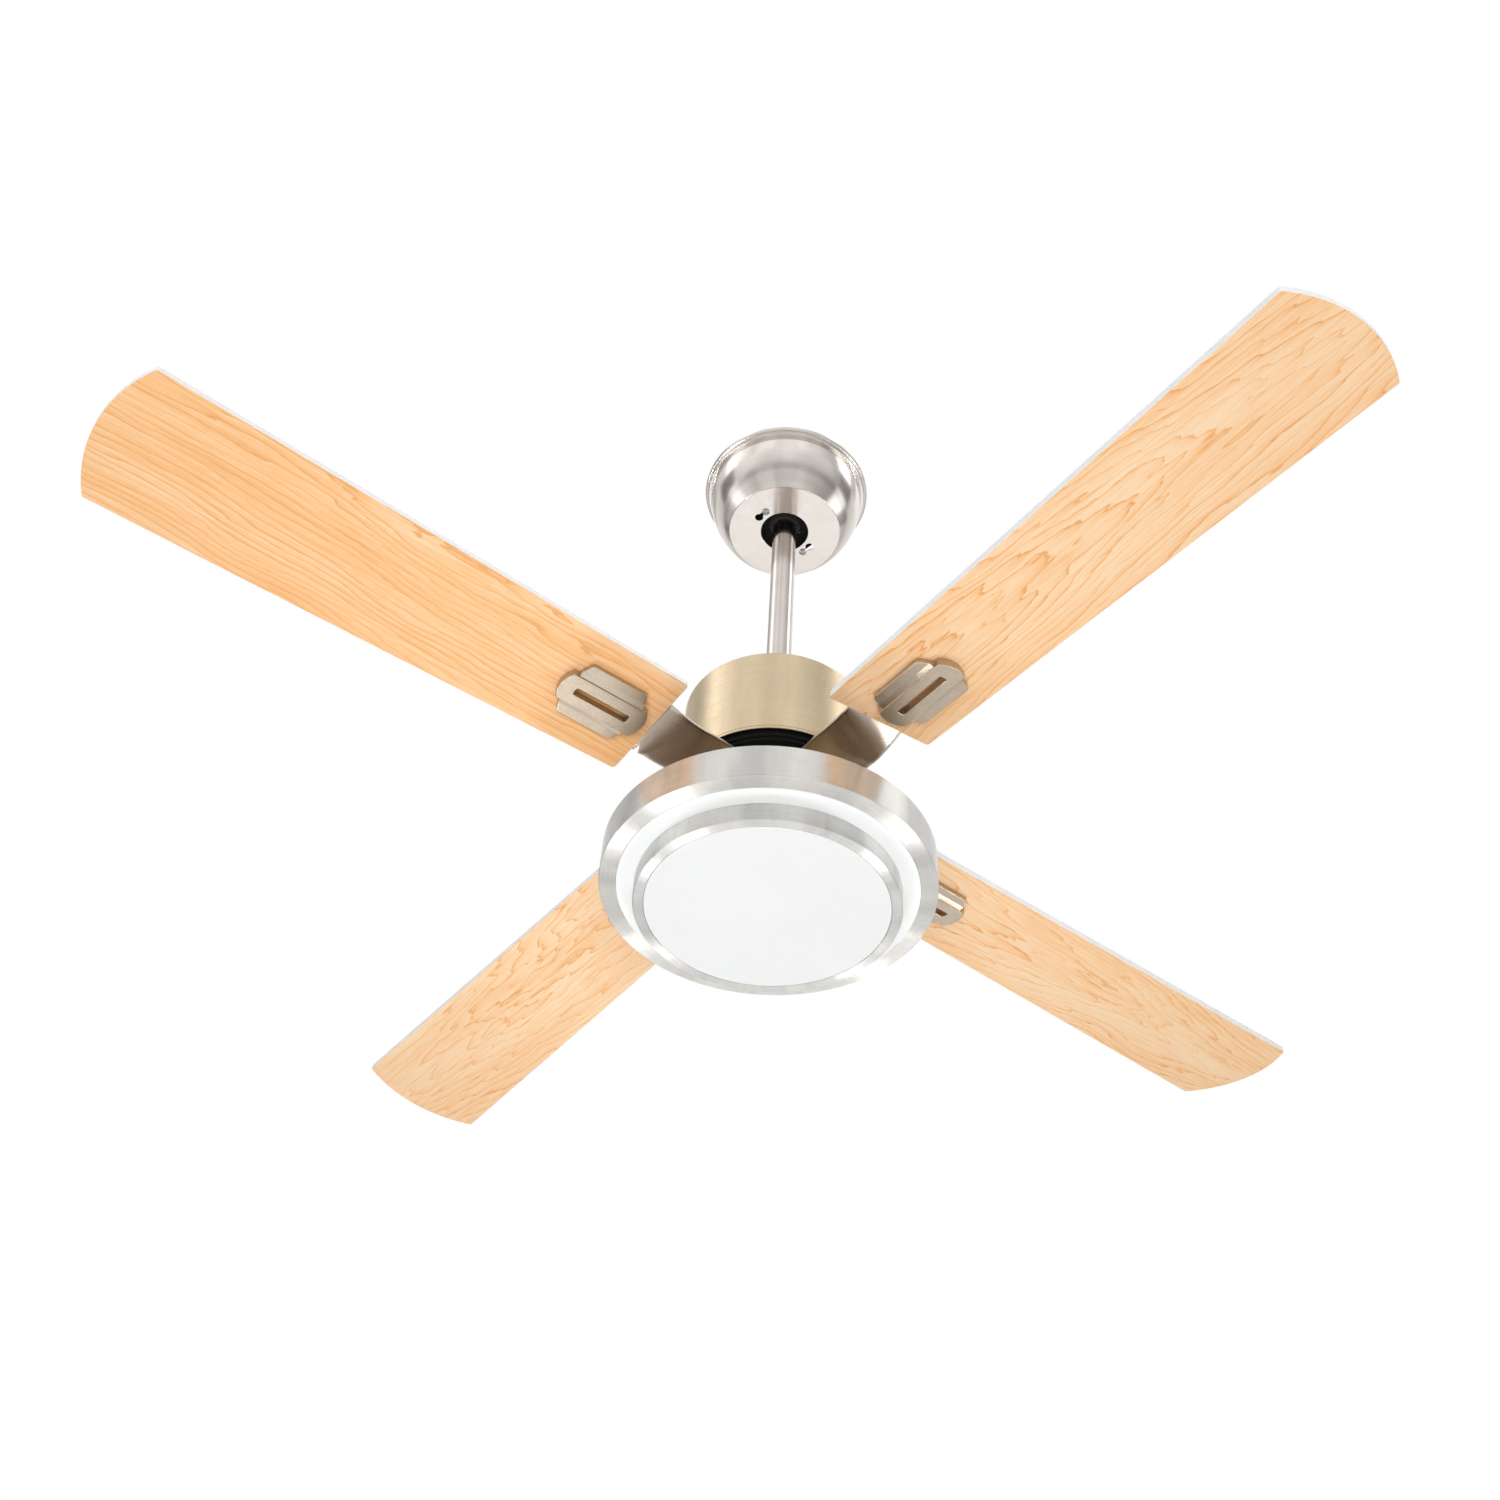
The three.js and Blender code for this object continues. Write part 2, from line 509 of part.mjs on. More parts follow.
// The arm: a flat strip under the rotor that folds into the blade's plane and lies on top of the blade
function bladeArm(toArm) {
  const { innerX, outerX, lowY, highY, thick, z } = ARM;
  const flat = (x, y) => new THREE.Vector3(x, y + BLADES.side, z);
  const onBlade = (x, y) => new THREE.Vector3(x, y, BLADES.thick + FIT).applyMatrix4(toArm);
  const up = new THREE.Vector3(0, 0, thick);
  const bladeUp = up.clone().transformDirection(toArm).multiplyScalar(thick);
  const stations = [
    [flat(innerX, lowY), flat(innerX, highY), up],
    [flat(FOLD.lowX, lowY), flat(FOLD.highX, highY), up],
    [onBlade(FOLD.bladeX, lowY), onBlade(FOLD.bladeX, highY), bladeUp],
    [onBlade(outerX - 10, lowY), onBlade(outerX - 10, highY), bladeUp],
    [onBlade(outerX - 3, lowY + 3), onBlade(outerX - 3, highY - 3), bladeUp],
    [onBlade(outerX, lowY + 10), onBlade(outerX, highY - 10), bladeUp],
  ];
  const positions = stations.flatMap(([low, high, lift]) => {
    const corners = [low, high, high.clone().add(lift), low.clone().add(lift)];
    return corners.flatMap((corner) => corner.toArray());
  });
  const index = [0, 3, 2, 0, 2, 1];
  for (let i = 0; i < stations.length - 1; i += 1) {
    const a = 4 * i;
    const b = a + 4;
    for (let side = 0; side < 4; side += 1) {
      const next = (side + 1) % 4;
      index.push(a + side, a + next, b + next, a + side, b + next, b + side);
    }
  }
  const last = 4 * (stations.length - 1);
  index.push(last, last + 1, last + 2, last, last + 2, last + 3);
  const strip = new THREE.BufferGeometry();
  strip.setAttribute('position', new THREE.Float32BufferAttribute(positions, 3));
  strip.setIndex(index);
  const hubHoles = armScrewPlaces().map(([x, y]) => {
    return drum(ARM_SCREW.r + FIT, z - EPS, z + thick + EPS).translate(x, y, 0);
  });
  const stripTop = BLADES.thick + thick + 2 * EPS;
  const bladeHoles = bladeScrewHoles(BLADE_SCREW.r + 0.7, BLADES.thick - EPS, stripTop);
  return cut(strip, ...hubHoles, ...bladeHoles.map((hole) => hole.applyMatrix4(toArm)));
}

bladeTurns().forEach((turn, i) => {
  const number = i + 1;
  const arm = turnedGroup(turn);
  const frame = bladeFrame();
  arm.add(frame);
  add(`blade_arm_${number}`, bladeArm(frame.matrix), 'bronze', arm);
  add(`blade_${number}`, bladeBoard(), 'wood', frame);
  add(`medallion_${number}`, medallion(), 'nickel', frame);
  armScrewPlaces().forEach(([x, y], j) => {
    const mesh = add(`arm_screw_${number}_${j + 1}`, screw(ARM_SCREW, ARM_SCREW.length), 'steel', arm);
    mesh.position.set(x, y, ARM.z - FIT);
  });
  const headZ = BLADES.thick + FIT + ARM.thick + FIT;
  bladeScrewXs().forEach((x, j) => {
    const body = screw(BLADE_SCREW, headZ + MEDAL.plateDrop);
    const mesh = add(`blade_screw_${number}_${j + 1}`, body, 'nickel', frame);
    mesh.rotation.x = Math.PI;
    mesh.position.set(x, MEDAL.y, headZ);
  });
});

// ---- Switch housing -------------------------------------------------------------------------------
function switchHousing() {
  const { r, topZ, bottomZ } = HOUSING;
  const holeR = SHAFT.r + FIT;
  const body = turned([
    [r - SHEET, bottomZ], [r, bottomZ], [r, topZ - 2], [r - 2, topZ], [holeR, topZ], [holeR, topZ - SHEET],
    [r - 2 - SHEET / 2, topZ - SHEET], [r - SHEET, topZ - 2 - SHEET / 2],
  ]);
  const half = SWITCH.slot / 2;
  const tall = SWITCH.slotHeight / 2;
  return cut(body, block(-half, half, -r - EPS, -r + 5, SWITCH.z - tall, SWITCH.z + tall));
}

add('switch_housing', switchHousing(), 'champagne');
// A box across X, given its half width, its front and back Y and its half height round the switch's level
function switchBlock(half, frontY, backY, halfHeight) {
  return block(-half, half, frontY, backY, SWITCH.z - halfHeight, SWITCH.z + halfHeight);
}

const switchBox = switchBlock(SWITCH_BOX.half, SWITCH_BOX.frontY, SWITCH_BOX.backY, SWITCH_BOX.halfHeight);
const track = switchBlock(TRACK.half, SWITCH_BOX.frontY - EPS, TRACK.backY, TRACK.halfHeight);
add('reverse_switch', cut(switchBox, track), 'plastic');
const knob = switchBlock(KNOB.half, KNOB.frontY, KNOB.backY, KNOB.halfHeight);
const stem = switchBlock(STEM.half, KNOB.backY - EPS, STEM.backY, STEM.halfHeight);
add('reverse_slider', join(knob, stem), 'black').position.x = -SWITCH.travel / 2;
const { nearX, farX, half: canHalf, corner: canCorner } = CAPACITOR;
const canShape = roundedShape([
  [farX, -canHalf, canCorner], [nearX, -canHalf, canCorner],
  [nearX, canHalf, canCorner], [farX, canHalf, canCorner],
]);
add('capacitor', plate(canShape, CAPACITOR.bottomZ, CAPACITOR.topZ, 3), 'black');

// ---- Light ----------------------------------------------------------------------------------------
const panUnderZ = PAN.topZ - SHEET;
add('light_pan', turned([
  [SHAFT.r + FIT, panUnderZ], [PAN.r - SHEET, panUnderZ], [PAN.r - SHEET, PAN.topZ - PAN.rim],
  [PAN.r, PAN.topZ - PAN.rim], [PAN.r, PAN.topZ], [SHAFT.r + FIT, PAN.topZ],
], SIDES.large), 'plastic');

const nutShape = new THREE.Shape();
for (let i = 0; i < 6; i += 1) {
  const a = (i * Math.PI) / 3;
  nutShape[i ? 'lineTo' : 'moveTo'](NUT.r * Math.cos(a), NUT.r * Math.sin(a));
}
nutShape.closePath();
const nutHole = new THREE.Path();
nutHole.absarc(0, 0, SHAFT.r + FIT, 0, 2 * Math.PI, true);
nutShape.holes.push(nutHole);
const underPanZ = panUnderZ - FIT;
add('shaft_nut', plate(nutShape, underPanZ - NUT.height, underPanZ, 12), 'steel');
const { innerR: boardInnerR, outerR: boardOuterR, thick: boardThick } = LAMP_BOARD;
const board = ring(boardInnerR, boardOuterR, underPanZ - boardThick, underPanZ, SIDES.medium);
add('led_board', board, 'plastic');

function upperRing() {
  const { r, topZ, bottomZ, lipR } = UPPER_RING;
  return turned([
    [lipR, bottomZ], [r - 1, bottomZ], [r, bottomZ + 1], [r, topZ], [r - SHEET, topZ],
    [r - SHEET, bottomZ + SHEET], [lipR, bottomZ + SHEET],
  ], SIDES.large);
}

function upperDiffuser() {
  const innerR = LOWER_RING.r + 0.5;
  const neckR = UPPER_RING.lipR - 0.4;
  const restZ = UPPER_RING.bottomZ + SHEET + FIT;
  const { rimR, thick } = DIFFUSER;
  return turned([
    [innerR, restZ - 1.6 - 2.1], [neckR, restZ - 2.1], [neckR, restZ], [rimR, restZ],
    [rimR, restZ + thick], [neckR - 1, restZ + thick], [neckR - 2.5, restZ], [innerR, restZ - 1.6],
  ], SIDES.large);
}

function lowerRing() {
  const { r, topZ, bottomZ, lipR, hookR } = LOWER_RING;
  return turned([
    [lipR, bottomZ], [r - 0.8, bottomZ + 0.7], [r, bottomZ + 1.7], [r, topZ - 1], [hookR, topZ - 1],
    [hookR, topZ], [r - SHEET, topZ], [r - SHEET, bottomZ + 2.1], [lipR, bottomZ + SHEET],
  ], SIDES.large);
}

function lowerDiffuser() {
  const { bottomZ, lipR } = LOWER_RING;
  const faceR = lipR - 0.4;
  const rimR = LOWER_RING.r - SHEET - 0.6;
  const faceZ = (t) => bottomZ - 0.1 - DISC.sag * (1 - t * t);
  const dome = [0, 0.35, 0.7, 1].map((t) => [faceR * t, faceZ(t)]);
  const back = [0.9, 0.5, 0].map((t) => [faceR * t, faceZ(t) + DISC.thick]);
  return turned([
    ...dome, [faceR, bottomZ + 1.5], [rimR, bottomZ + 2.5], [rimR, bottomZ + 4.7],
    [faceR, bottomZ + 4.3], ...back,
  ], SIDES.large);
}

add('upper_ring', upperRing(), 'aluminium');
add('upper_diffuser', upperDiffuser(), 'opal');
add('lower_ring', lowerRing(), 'aluminium');
add('lower_diffuser', lowerDiffuser(), 'opal');

export default fan;
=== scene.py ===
"""Looks of the ceiling fan with a round light. Sizes are millimetres unless said; Blender's are metres."""
import math

import bmesh
import bpy
from mathutils import Matrix, Vector


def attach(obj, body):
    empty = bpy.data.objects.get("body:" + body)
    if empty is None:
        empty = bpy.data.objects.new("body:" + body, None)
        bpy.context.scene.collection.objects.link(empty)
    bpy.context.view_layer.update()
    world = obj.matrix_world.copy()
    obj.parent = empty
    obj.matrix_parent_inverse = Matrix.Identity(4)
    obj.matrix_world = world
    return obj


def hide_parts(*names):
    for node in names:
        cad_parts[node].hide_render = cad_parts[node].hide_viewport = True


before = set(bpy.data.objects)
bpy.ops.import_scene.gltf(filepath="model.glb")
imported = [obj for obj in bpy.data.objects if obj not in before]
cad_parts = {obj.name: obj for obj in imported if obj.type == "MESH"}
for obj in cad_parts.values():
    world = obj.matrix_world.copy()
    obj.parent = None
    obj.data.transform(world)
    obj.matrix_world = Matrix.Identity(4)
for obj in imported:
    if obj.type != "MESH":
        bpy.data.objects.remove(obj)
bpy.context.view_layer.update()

MM = 0.001

SCREW_SIDES = 32                  # sides of the turned pieces, from the screws up to the light's rings
ROD_SIDES = 72
BALL_SIDES = 96
ROUND = 160
FINE_ROUND = 192
RING_ROUND = 224

SHARP = 35                        # degrees from which an edge is shaded as sharp

SHEET = 1.2                       # thickness of the pressed and spun metal

BOWL_X = 33.49                    # the canopy's side is part of an ellipse about this point
BOWL_Z = -10
BOWL_WIDE = 50.51
BOWL_DEEP = 71.54
BOWL_CUT = 57                     # degrees of it that are used
CANOPY_LOW = -70
CANOPY_HOLE = 26
CANOPY_FLAT = 52                  # the base is flat out to here
CANOPY_BASE_R = 61
BASE_JOIN = 3                     # the bowl's points before this one give way to the base's rounded edge
KEYHOLE_OUT = 34                  # from the axis to the keyholes' middle line
KEYHOLE_TURNS = [42, 46.5, 51, 55.5, 60]    # degrees round the canopy; the wide end comes first
KEYHOLE_WIDE_R = 4.6
KEYHOLE_SLOT_R = 2.4

BALL_R = 22
BALL_Z = -46
BALL_BORE = 13.05
ROD_R = 12.75
ROD_BORE = 10.5
ROD_HIGH = -31
ROD_LOW = -399.5

COVER_R = 88.4
COVER_HOLE = 14.5
COVER_TOP = -366.3
COVER_LOW = -468.2
COVER_SCREW_OUT = 27
SHAFT_HOLE = 8.8
HOUSING_R = 60
HOUSING_TOP = -484
HOUSING_LOW = -552.4
SWITCH_Z = -516
BELL_R = 84                       # the black shell under the rotor
BELL_HOLE = 16.3
BELL_LOW = -474.2
BELL_TOP = -445.15
BELL_BOSS_TOP = -464.7
BELL_SCREW_OUT = 73
BELL_SCREW_TURN = 22              # degrees from the first blade to the first of its screws

PAN_R = 148.4
PAN_TOP = -552.7
PAN_LOW = -562
PAN_GROOVE = 135.4
RING_R = 150                      # the light's upper ring
RING_HOLE = 134.6
RING_LOW = -587
LOWER_R = 118.4                   # its lower ring
LOWER_HOLE = 109
LOWER_LOW = -607.1
DISC_R = 108.6
DISC_LOW = -607.2
DISC_BULGE = 1.6

BLADE_COUNT = 4
BLADE_STEP = 360 / BLADE_COUNT
BLADE_TURN = 45                   # degrees from +X to the first blade
BLADE_SIDE = 7.6                  # how far a blade's middle line passes the fan's axis
BLADE_Z = -476.6
BLADE_PITCH = 7.33
BLADE_DROOP = 0.75
BLADE_ROOT = 143.3
BLADE_SHOULDER = 642              # where the straight edges end
BLADE_TIP = 660
BLADE_ROOT_WIDTH = 115.5
BLADE_WIDTH = 135.4
BOARD = 6

ARM_START = 46
ARM_Z = -477
ARM_LOW = -32.3
ARM_HIGH = 28.9
ARM_THICK = 2.5
ARM_SCREW_X = 57
ARM_SCREW_SIDE = 14
ARM_SEAT = BOARD + 0.3            # the arm's underside over the board's own underside
CREASE_LOW = 130                  # where the slanting fold begins, on the arm's low and high side
CREASE_HIGH = 110
DIP_X = 94                        # where a shallow dip begins, at the arm's middle line
DIP_BOW = 10                      # how much farther out it begins at the arm's sides
DIP_DEPTH = 0.9
FOLD_END = 141
FOLD_SAG = 0.9                    # how far the fold's middle bows down
FOLD_STEPS = 16
ARM_COLUMNS = 16
FLAT_ROWS = [46, 50, 60, 70, 80, 84, 88, 91, 94, 97, 100, 104, 108]
BLADE_ROWS = [160, 200, 236, 240, 243, 245, 246]
ARM_CORNER = {240: 1.0, 243: 3.2, 245: 6.5, 246: 10}    # how far the sides draw in at the rounded end
MEDAL_X = 196.6
MEDAL_Y = 1
MEDAL_SCREW = 34.5                # from the medallion's middle to each blade screw

FLOOR_Z = -2.6                    # metres, as are the stage's other places
FLOOR_HALF = 60


# ---------------------------------------------------------------------------------------------------
# Mesh helpers
# ---------------------------------------------------------------------------------------------------
def rounded(corners, step=12):
    """A closed outline from (x, y) or (x, y, radius) corners; a radius rounds its corner off."""
    points = []
    count = len(corners)
    for i, corner in enumerate(corners):
        here = Vector(corner[:2])
        radius = corner[2] if len(corner) > 2 else 0
        before = Vector(corners[i - 1][:2]) - here
        after = Vector(corners[(i + 1) % count][:2]) - here
        angle = before.angle(after, math.pi) if radius else math.pi
        if angle > math.radians(178):
            points.append(here)
            continue
        reach = min(radius / math.tan(angle / 2), 0.49 * before.length, 0.49 * after.length)
        radius = reach * math.tan(angle / 2)
        start = here + before.normalized() * reach
        inward = (before.normalized() + after.normalized()).normalized()
        middle = here + inward * (radius / math.sin(angle / 2))
        spoke = start - middle
        turn = math.pi - angle
        sign = 1 if before.x * after.y - before.y * after.x < 0 else -1
        steps = max(2, math.ceil(math.degrees(turn) / step))
        for k in range(steps + 1):
            a = sign * turn * k / steps
            points.append(middle + Vector((
                spoke.x * math.cos(a) - spoke.y * math.sin(a),
                spoke.x * math.sin(a) + spoke.y * math.cos(a))))
    return [(p.x, p.y) for p in points]


def arc(cx, cy, rx, ry, start, end, steps):
    """Points on an ellipse's arc, from start to end degrees."""
    turns = [math.radians(start + (end - start) * i / steps) for i in range(steps + 1)]
    return [(cx + rx * math.cos(a), cy + ry * math.sin(a)) for a in turns]


def circle(x, y, r, sides=24):
    return arc(x, y, r, r, 0, 360 - 360 / sides, sides - 1)


def box(half_x, half_y, radius=0.0):
    """The corners of a rectangle round the origin."""
    return [(-half_x, -half_y, radius), (half_x, -half_y, radius), (half_x, half_y, radius),
            (-half_x, half_y, radius)]


def shade_smooth(mesh, sharp=SHARP):
    """Smooth shading, broken at edges of more than so many degrees."""
    mesh.polygons.foreach_set("use_smooth", [True] * len(mesh.polygons))
    mesh.set_sharp_from_angle(angle=math.radians(sharp))
    return mesh


def to_mesh(bm, name, sharp=SHARP, weld=True):
    if weld:
        bmesh.ops.remove_doubles(bm, verts=bm.verts, dist=1e-7)
    bmesh.ops.recalc_face_normals(bm, faces=bm.faces)
    mesh = bpy.data.meshes.new(name)
    bm.to_mesh(mesh)
    bm.free()
    return shade_smooth(mesh, sharp)


def turned(name, outline, sides=ROUND):
    """A closed outline of (radius, z), turned about Z."""
    bm = bmesh.new()
    rings = []
    for r, z in outline:
        if r < 1e-6:
            rings.append([bm.verts.new((0, 0, z * MM))] * sides)
        else:
            turns = [2 * math.pi * k / sides for k in range(sides)]
            points = [(r * math.cos(a) * MM, r * math.sin(a) * MM, z * MM) for a in turns]
            rings.append([bm.verts.new(point) for point in points])
    for i, ring in enumerate(rings):
        following = rings[(i + 1) % len(rings)]
        for k in range(sides):
            n = (k + 1) % sides
            quad = list(dict.fromkeys([ring[k], ring[n], following[n], following[k]]))
            if len(quad) > 2:
                bm.faces.new(quad)
    return to_mesh(bm, name)


def evaluated(obj):
    """A copy of an object's mesh with its modifiers applied."""
    bpy.context.view_layer.update()
    return bpy.data.meshes.new_from_object(obj.evaluated_get(bpy.context.evaluated_depsgraph_get()))


def slab(name, outline, z0, z1, holes=(), edge=0.0):
    """A flat outline with holes, given thickness from z0 to z1 and rounded edges."""
    curve = bpy.data.curves.new(name, "CURVE")
    curve.dimensions = "2D"
    curve.fill_mode = "BOTH"
    curve.extrude = ((z1 - z0) / 2 - edge) * MM
    curve.bevel_depth = edge * MM
    curve.bevel_resolution = 3
    curve.offset = -edge * MM
    for i, loop in enumerate([outline, *holes]):
        area = sum(a[0] * b[1] - b[0] * a[1] for a, b in zip(loop, [*loop[1:], loop[0]]))
        points = list(loop) if (area > 0) == (i == 0) else list(reversed(loop))
        spline = curve.splines.new("POLY")
        spline.points.add(len(points) - 1)
        spline.use_cyclic_u = True
        for point, (x, y) in zip(spline.points, points):
            point.co = (x * MM, y * MM, 0, 1)
    holder = bpy.data.objects.new(name, curve)
    bpy.context.scene.collection.objects.link(holder)
    raw = evaluated(holder)
    bpy.data.objects.remove(holder)
    bpy.data.curves.remove(curve)
    bm = bmesh.new()
    bm.from_mesh(raw)
    bpy.data.meshes.remove(raw)
    bmesh.ops.translate(bm, verts=bm.verts, vec=(0, 0, (z0 + z1) / 2 * MM))
    return to_mesh(bm, name)


def merged(name, parts, sharp=SHARP):
    """One mesh from (mesh, matrix) parts, which are used up."""
    bm = bmesh.new()
    for mesh, place in parts:
        mesh.transform(place)
        bm.from_mesh(mesh)
        bpy.data.meshes.remove(mesh)
    return to_mesh(bm, name, sharp, weld=False)


def carved(mesh, cutter):
    """The mesh with the cutter's space taken out of it; the cutter is used up."""
    body = bpy.data.objects.new("carve_body", mesh)
    tool = bpy.data.objects.new("carve_tool", cutter)
    for o in (body, tool):
        bpy.context.scene.collection.objects.link(o)
    cut = body.modifiers.new("cut", "BOOLEAN")
    cut.operation = "DIFFERENCE"
    cut.solver = "EXACT"
    cut.object = tool
    result = evaluated(body)
    result.name = mesh.name
    bpy.data.objects.remove(body)
    bpy.data.objects.remove(tool)
    bpy.data.meshes.remove(cutter)
    result.materials.clear()
    return shade_smooth(result)


def soften(obj, width, angle):
    """Rounds the edges of more than so many degrees off, by a width in millimetres."""
    edge = obj.modifiers.new("edge", "BEVEL")
    edge.width = width * MM
    edge.segments = 2
    edge.limit_method = "ANGLE"
    edge.angle_limit = math.radians(angle)


def at(x, y, z, turn=0.0, tilt=0.0):
    """A place given in millimetres and degrees: tilted about X, then turned about Z."""
    turned_by = Matrix.Rotation(math.radians(turn), 4, "Z")
    tilted_by = Matrix.Rotation(math.radians(tilt), 4, "X")
    return Matrix.Translation(Vector((x, y, z)) * MM) @ turned_by @ tilted_by


def piece(name, mesh, body, looks, replaces=(), place=None):
    """A finished piece that rides a CAD body, wears the given looks and stands for the replaced nodes."""
    obj = bpy.data.objects.new(name, mesh)
    bpy.context.scene.collection.objects.link(obj)
    if not mesh.materials:
        for look in looks:
            mesh.materials.append(look)
    if place is not None:
        obj.matrix_world = place
    weighted = obj.modifiers.new("weighted_normals", "WEIGHTED_NORMAL")
    weighted.keep_sharp = True
    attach(obj, body)
    if replaces:
        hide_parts(*replaces)
    return obj


# ---------------------------------------------------------------------------------------------------
# Material helpers
# ---------------------------------------------------------------------------------------------------
class Look:
    """A material made of nodes round one Principled shader."""

    def __init__(self, name, **inputs):
        self.material = bpy.data.materials.new(name)
        self.material.use_nodes = True
        self.tree = self.material.node_tree
        self.shader = self.tree.nodes["Principled BSDF"]
        for key, value in inputs.items():
            socket = key.replace("_", " ").title().replace("Ior", "IOR")
            self.shader.inputs[socket].default_value = value
        self.coords = self.add("ShaderNodeTexCoord").outputs["Object"]
        split = self.add("ShaderNodeSeparateXYZ", {0: self.coords})
        self.x, self.y, self.z = split.outputs

    def add(self, kind, inputs=None, **settings):
        node = self.tree.nodes.new(kind)
        for key, value in settings.items():
            setattr(node, key, value)
        for key, value in (inputs or {}).items():
            if isinstance(value, bpy.types.NodeSocket):
                self.tree.links.new(value, node.inputs[key])
            else:
                node.inputs[key].default_value = value
        return node

    def math(self, operation, *values):
        return self.add("ShaderNodeMath", dict(enumerate(values)), operation=operation).outputs[0]

    def vector(self, x, y, z):
        return self.add("ShaderNodeCombineXYZ", {0: x, 1: y, 2: z}).outputs[0]

    def noise(self, vector, scale=1.0, detail=2.0, rough=0.5):
        inputs = {"Vector": vector, "Scale": scale, "Detail": detail, "Roughness": rough}
        return self.add("ShaderNodeTexNoise", inputs).outputs["Fac"]

    def spread(self, value, low, high, start=0.3, end=0.7):
        """Maps start..end of a value to low..high and stops there."""
        inputs = {"Value": value, "From Min": start, "From Max": end, "To Min": low, "To Max": high}
        return self.add("ShaderNodeMapRange", inputs).outputs[0]

    def ramp(self, value, stops):
        node = self.add("ShaderNodeValToRGB", {0: value})
        stones = node.color_ramp.elements
        while len(stones) < len(stops):
            stones.new(0.5)
        for stone, (place, color) in zip(stones, stops):
            stone.position = place
            stone.color = (*color, 1)
        return node.outputs[0]

    def mix(self, amount, first, second, blend="MIX"):
        node = self.add("ShaderNodeMix", {0: amount}, data_type="RGBA", blend_type=blend)
        for socket, value in ((node.inputs[6], first), (node.inputs[7], second)):
            if isinstance(value, bpy.types.NodeSocket):
                self.tree.links.new(value, socket)
            else:
                socket.default_value = (*value, 1)
        return node.outputs[2]

    def grey(self, value):
        return self.add("ShaderNodeCombineColor", {0: value, 1: value, 2: value}).outputs[0]

    def round_vector(self, along, across):
        """Coordinates for streaks that run round the Z axis: short across, long around."""
        m = self.math
        length = m("SQRT", m("ADD", m("MULTIPLY", self.x, self.x), m("MULTIPLY", self.y, self.y)))
        safe = m("MAXIMUM", length, 1e-4)
        across_value = m("ADD", m("MULTIPLY", self.z, across), m("MULTIPLY", length, across * 0.83))
        return self.vector(m("MULTIPLY", m("DIVIDE", self.x, safe), along),
                           m("MULTIPLY", m("DIVIDE", self.y, safe), along), across_value)

    def set(self, **sockets):
        for key, value in sockets.items():
            self.tree.links.new(value, self.shader.inputs[key.replace("_", " ").title()])

    def bump(self, height, distance, strength=1.0):
        node = self.add("ShaderNodeBump", {"Height": height, "Strength": strength, "Distance": distance})
        self.tree.links.new(node.outputs[0], self.shader.inputs["Normal"])


def spun_metal(name, color, rough, anisotropy, streak=0.10, painted_sheen=0.10, coarse=900, warm=None):
    """Metal brushed in rings round Z, with painted reflection: soft light and dark wedges by azimuth painted
    into the base colour, some of them in the warm colour.
    """
    look = Look(name, metallic=1.0, anisotropic=anisotropy, anisotropic_rotation=0.25)
    fine = look.noise(look.round_vector(5, coarse), detail=3, rough=0.6)
    broad = look.noise(look.round_vector(3, coarse * 0.22), detail=2)
    # painted reflection: a noise mostly by azimuth that lightens and darkens the base colour in wedges, where
    # brushed-metal highlights would fall
    painted_sheen_noise = look.noise(look.round_vector(2.6, 6), scale=1.4, detail=6, rough=0.66)
    sheen_and_brushing = look.math("ADD", look.spread(painted_sheen_noise, -painted_sheen, painted_sheen, 0.36, 0.64),
                     look.spread(broad, -0.02, 0.02))
    shade = look.math("ADD", look.spread(fine, 1 - streak, 1 + streak, 0.25, 0.75), sheen_and_brushing)
    # the warm colour follows the same painted reflection wedges
    tone = look.mix(look.spread(painted_sheen_noise, 0, 1), color, warm or color)
    look.set(base_color=look.mix(1.0, tone, look.grey(shade), "MULTIPLY"),
             roughness=look.spread(fine, rough * 0.85, rough * 1.2, 0.3, 0.7))
    look.bump(look.math("ADD", fine, look.math("MULTIPLY", broad, 0.5)), 0.00001, 0.35)
    tangent = look.add("ShaderNodeTangent", direction_type="RADIAL", axis="Z")
    look.tree.links.new(tangent.outputs[0], look.shader.inputs["Tangent"])
    return look.material


def strip_metal(name, color, rough, streak=0.12, along="X"):
    """Metal brushed along one axis, with a faint clouding."""
    look = Look(name, metallic=1.0)
    scaled = [look.math("MULTIPLY", value, 14 if axis == along else 900)
              for axis, value in zip("XYZ", (look.x, look.y, look.z))]
    lines = look.noise(look.vector(*scaled), detail=3, rough=0.6)
    cloud = look.noise(look.coords, scale=28, detail=3)
    shade = look.math("ADD", look.spread(lines, 1 - streak, 1 + streak, 0.25, 0.75),
                      look.spread(cloud, -0.05, 0.05))
    look.set(base_color=look.mix(1.0, color, look.grey(shade), "MULTIPLY"),
             roughness=look.spread(cloud, rough * 0.85, rough * 1.15))
    look.bump(lines, 0.00001, 0.1)
    return look.material


def cast_metal(name, color, rough, grain=420, depth=0.00006):
    """Cast and plated metal: an orange-peel skin with small pits."""
    look = Look(name, metallic=1.0)
    skin = look.noise(look.coords, scale=grain, detail=3, rough=0.55)
    cloud = look.noise(look.coords, scale=45, detail=3)
    pits = look.add("ShaderNodeTexVoronoi", {"Vector": look.coords, "Scale": grain * 1.3}).outputs["Distance"]
    shade = look.math("ADD", look.spread(skin, 0.92, 1.08), look.spread(cloud, -0.07, 0.07))
    look.set(base_color=look.mix(1.0, color, look.grey(shade), "MULTIPLY"),
             roughness=look.spread(cloud, rough * 0.93, rough * 1.07))
    look.bump(look.math("ADD", skin, look.spread(pits, -0.3, 0, 0, 0.25)), depth, 0.8)
    return look.material


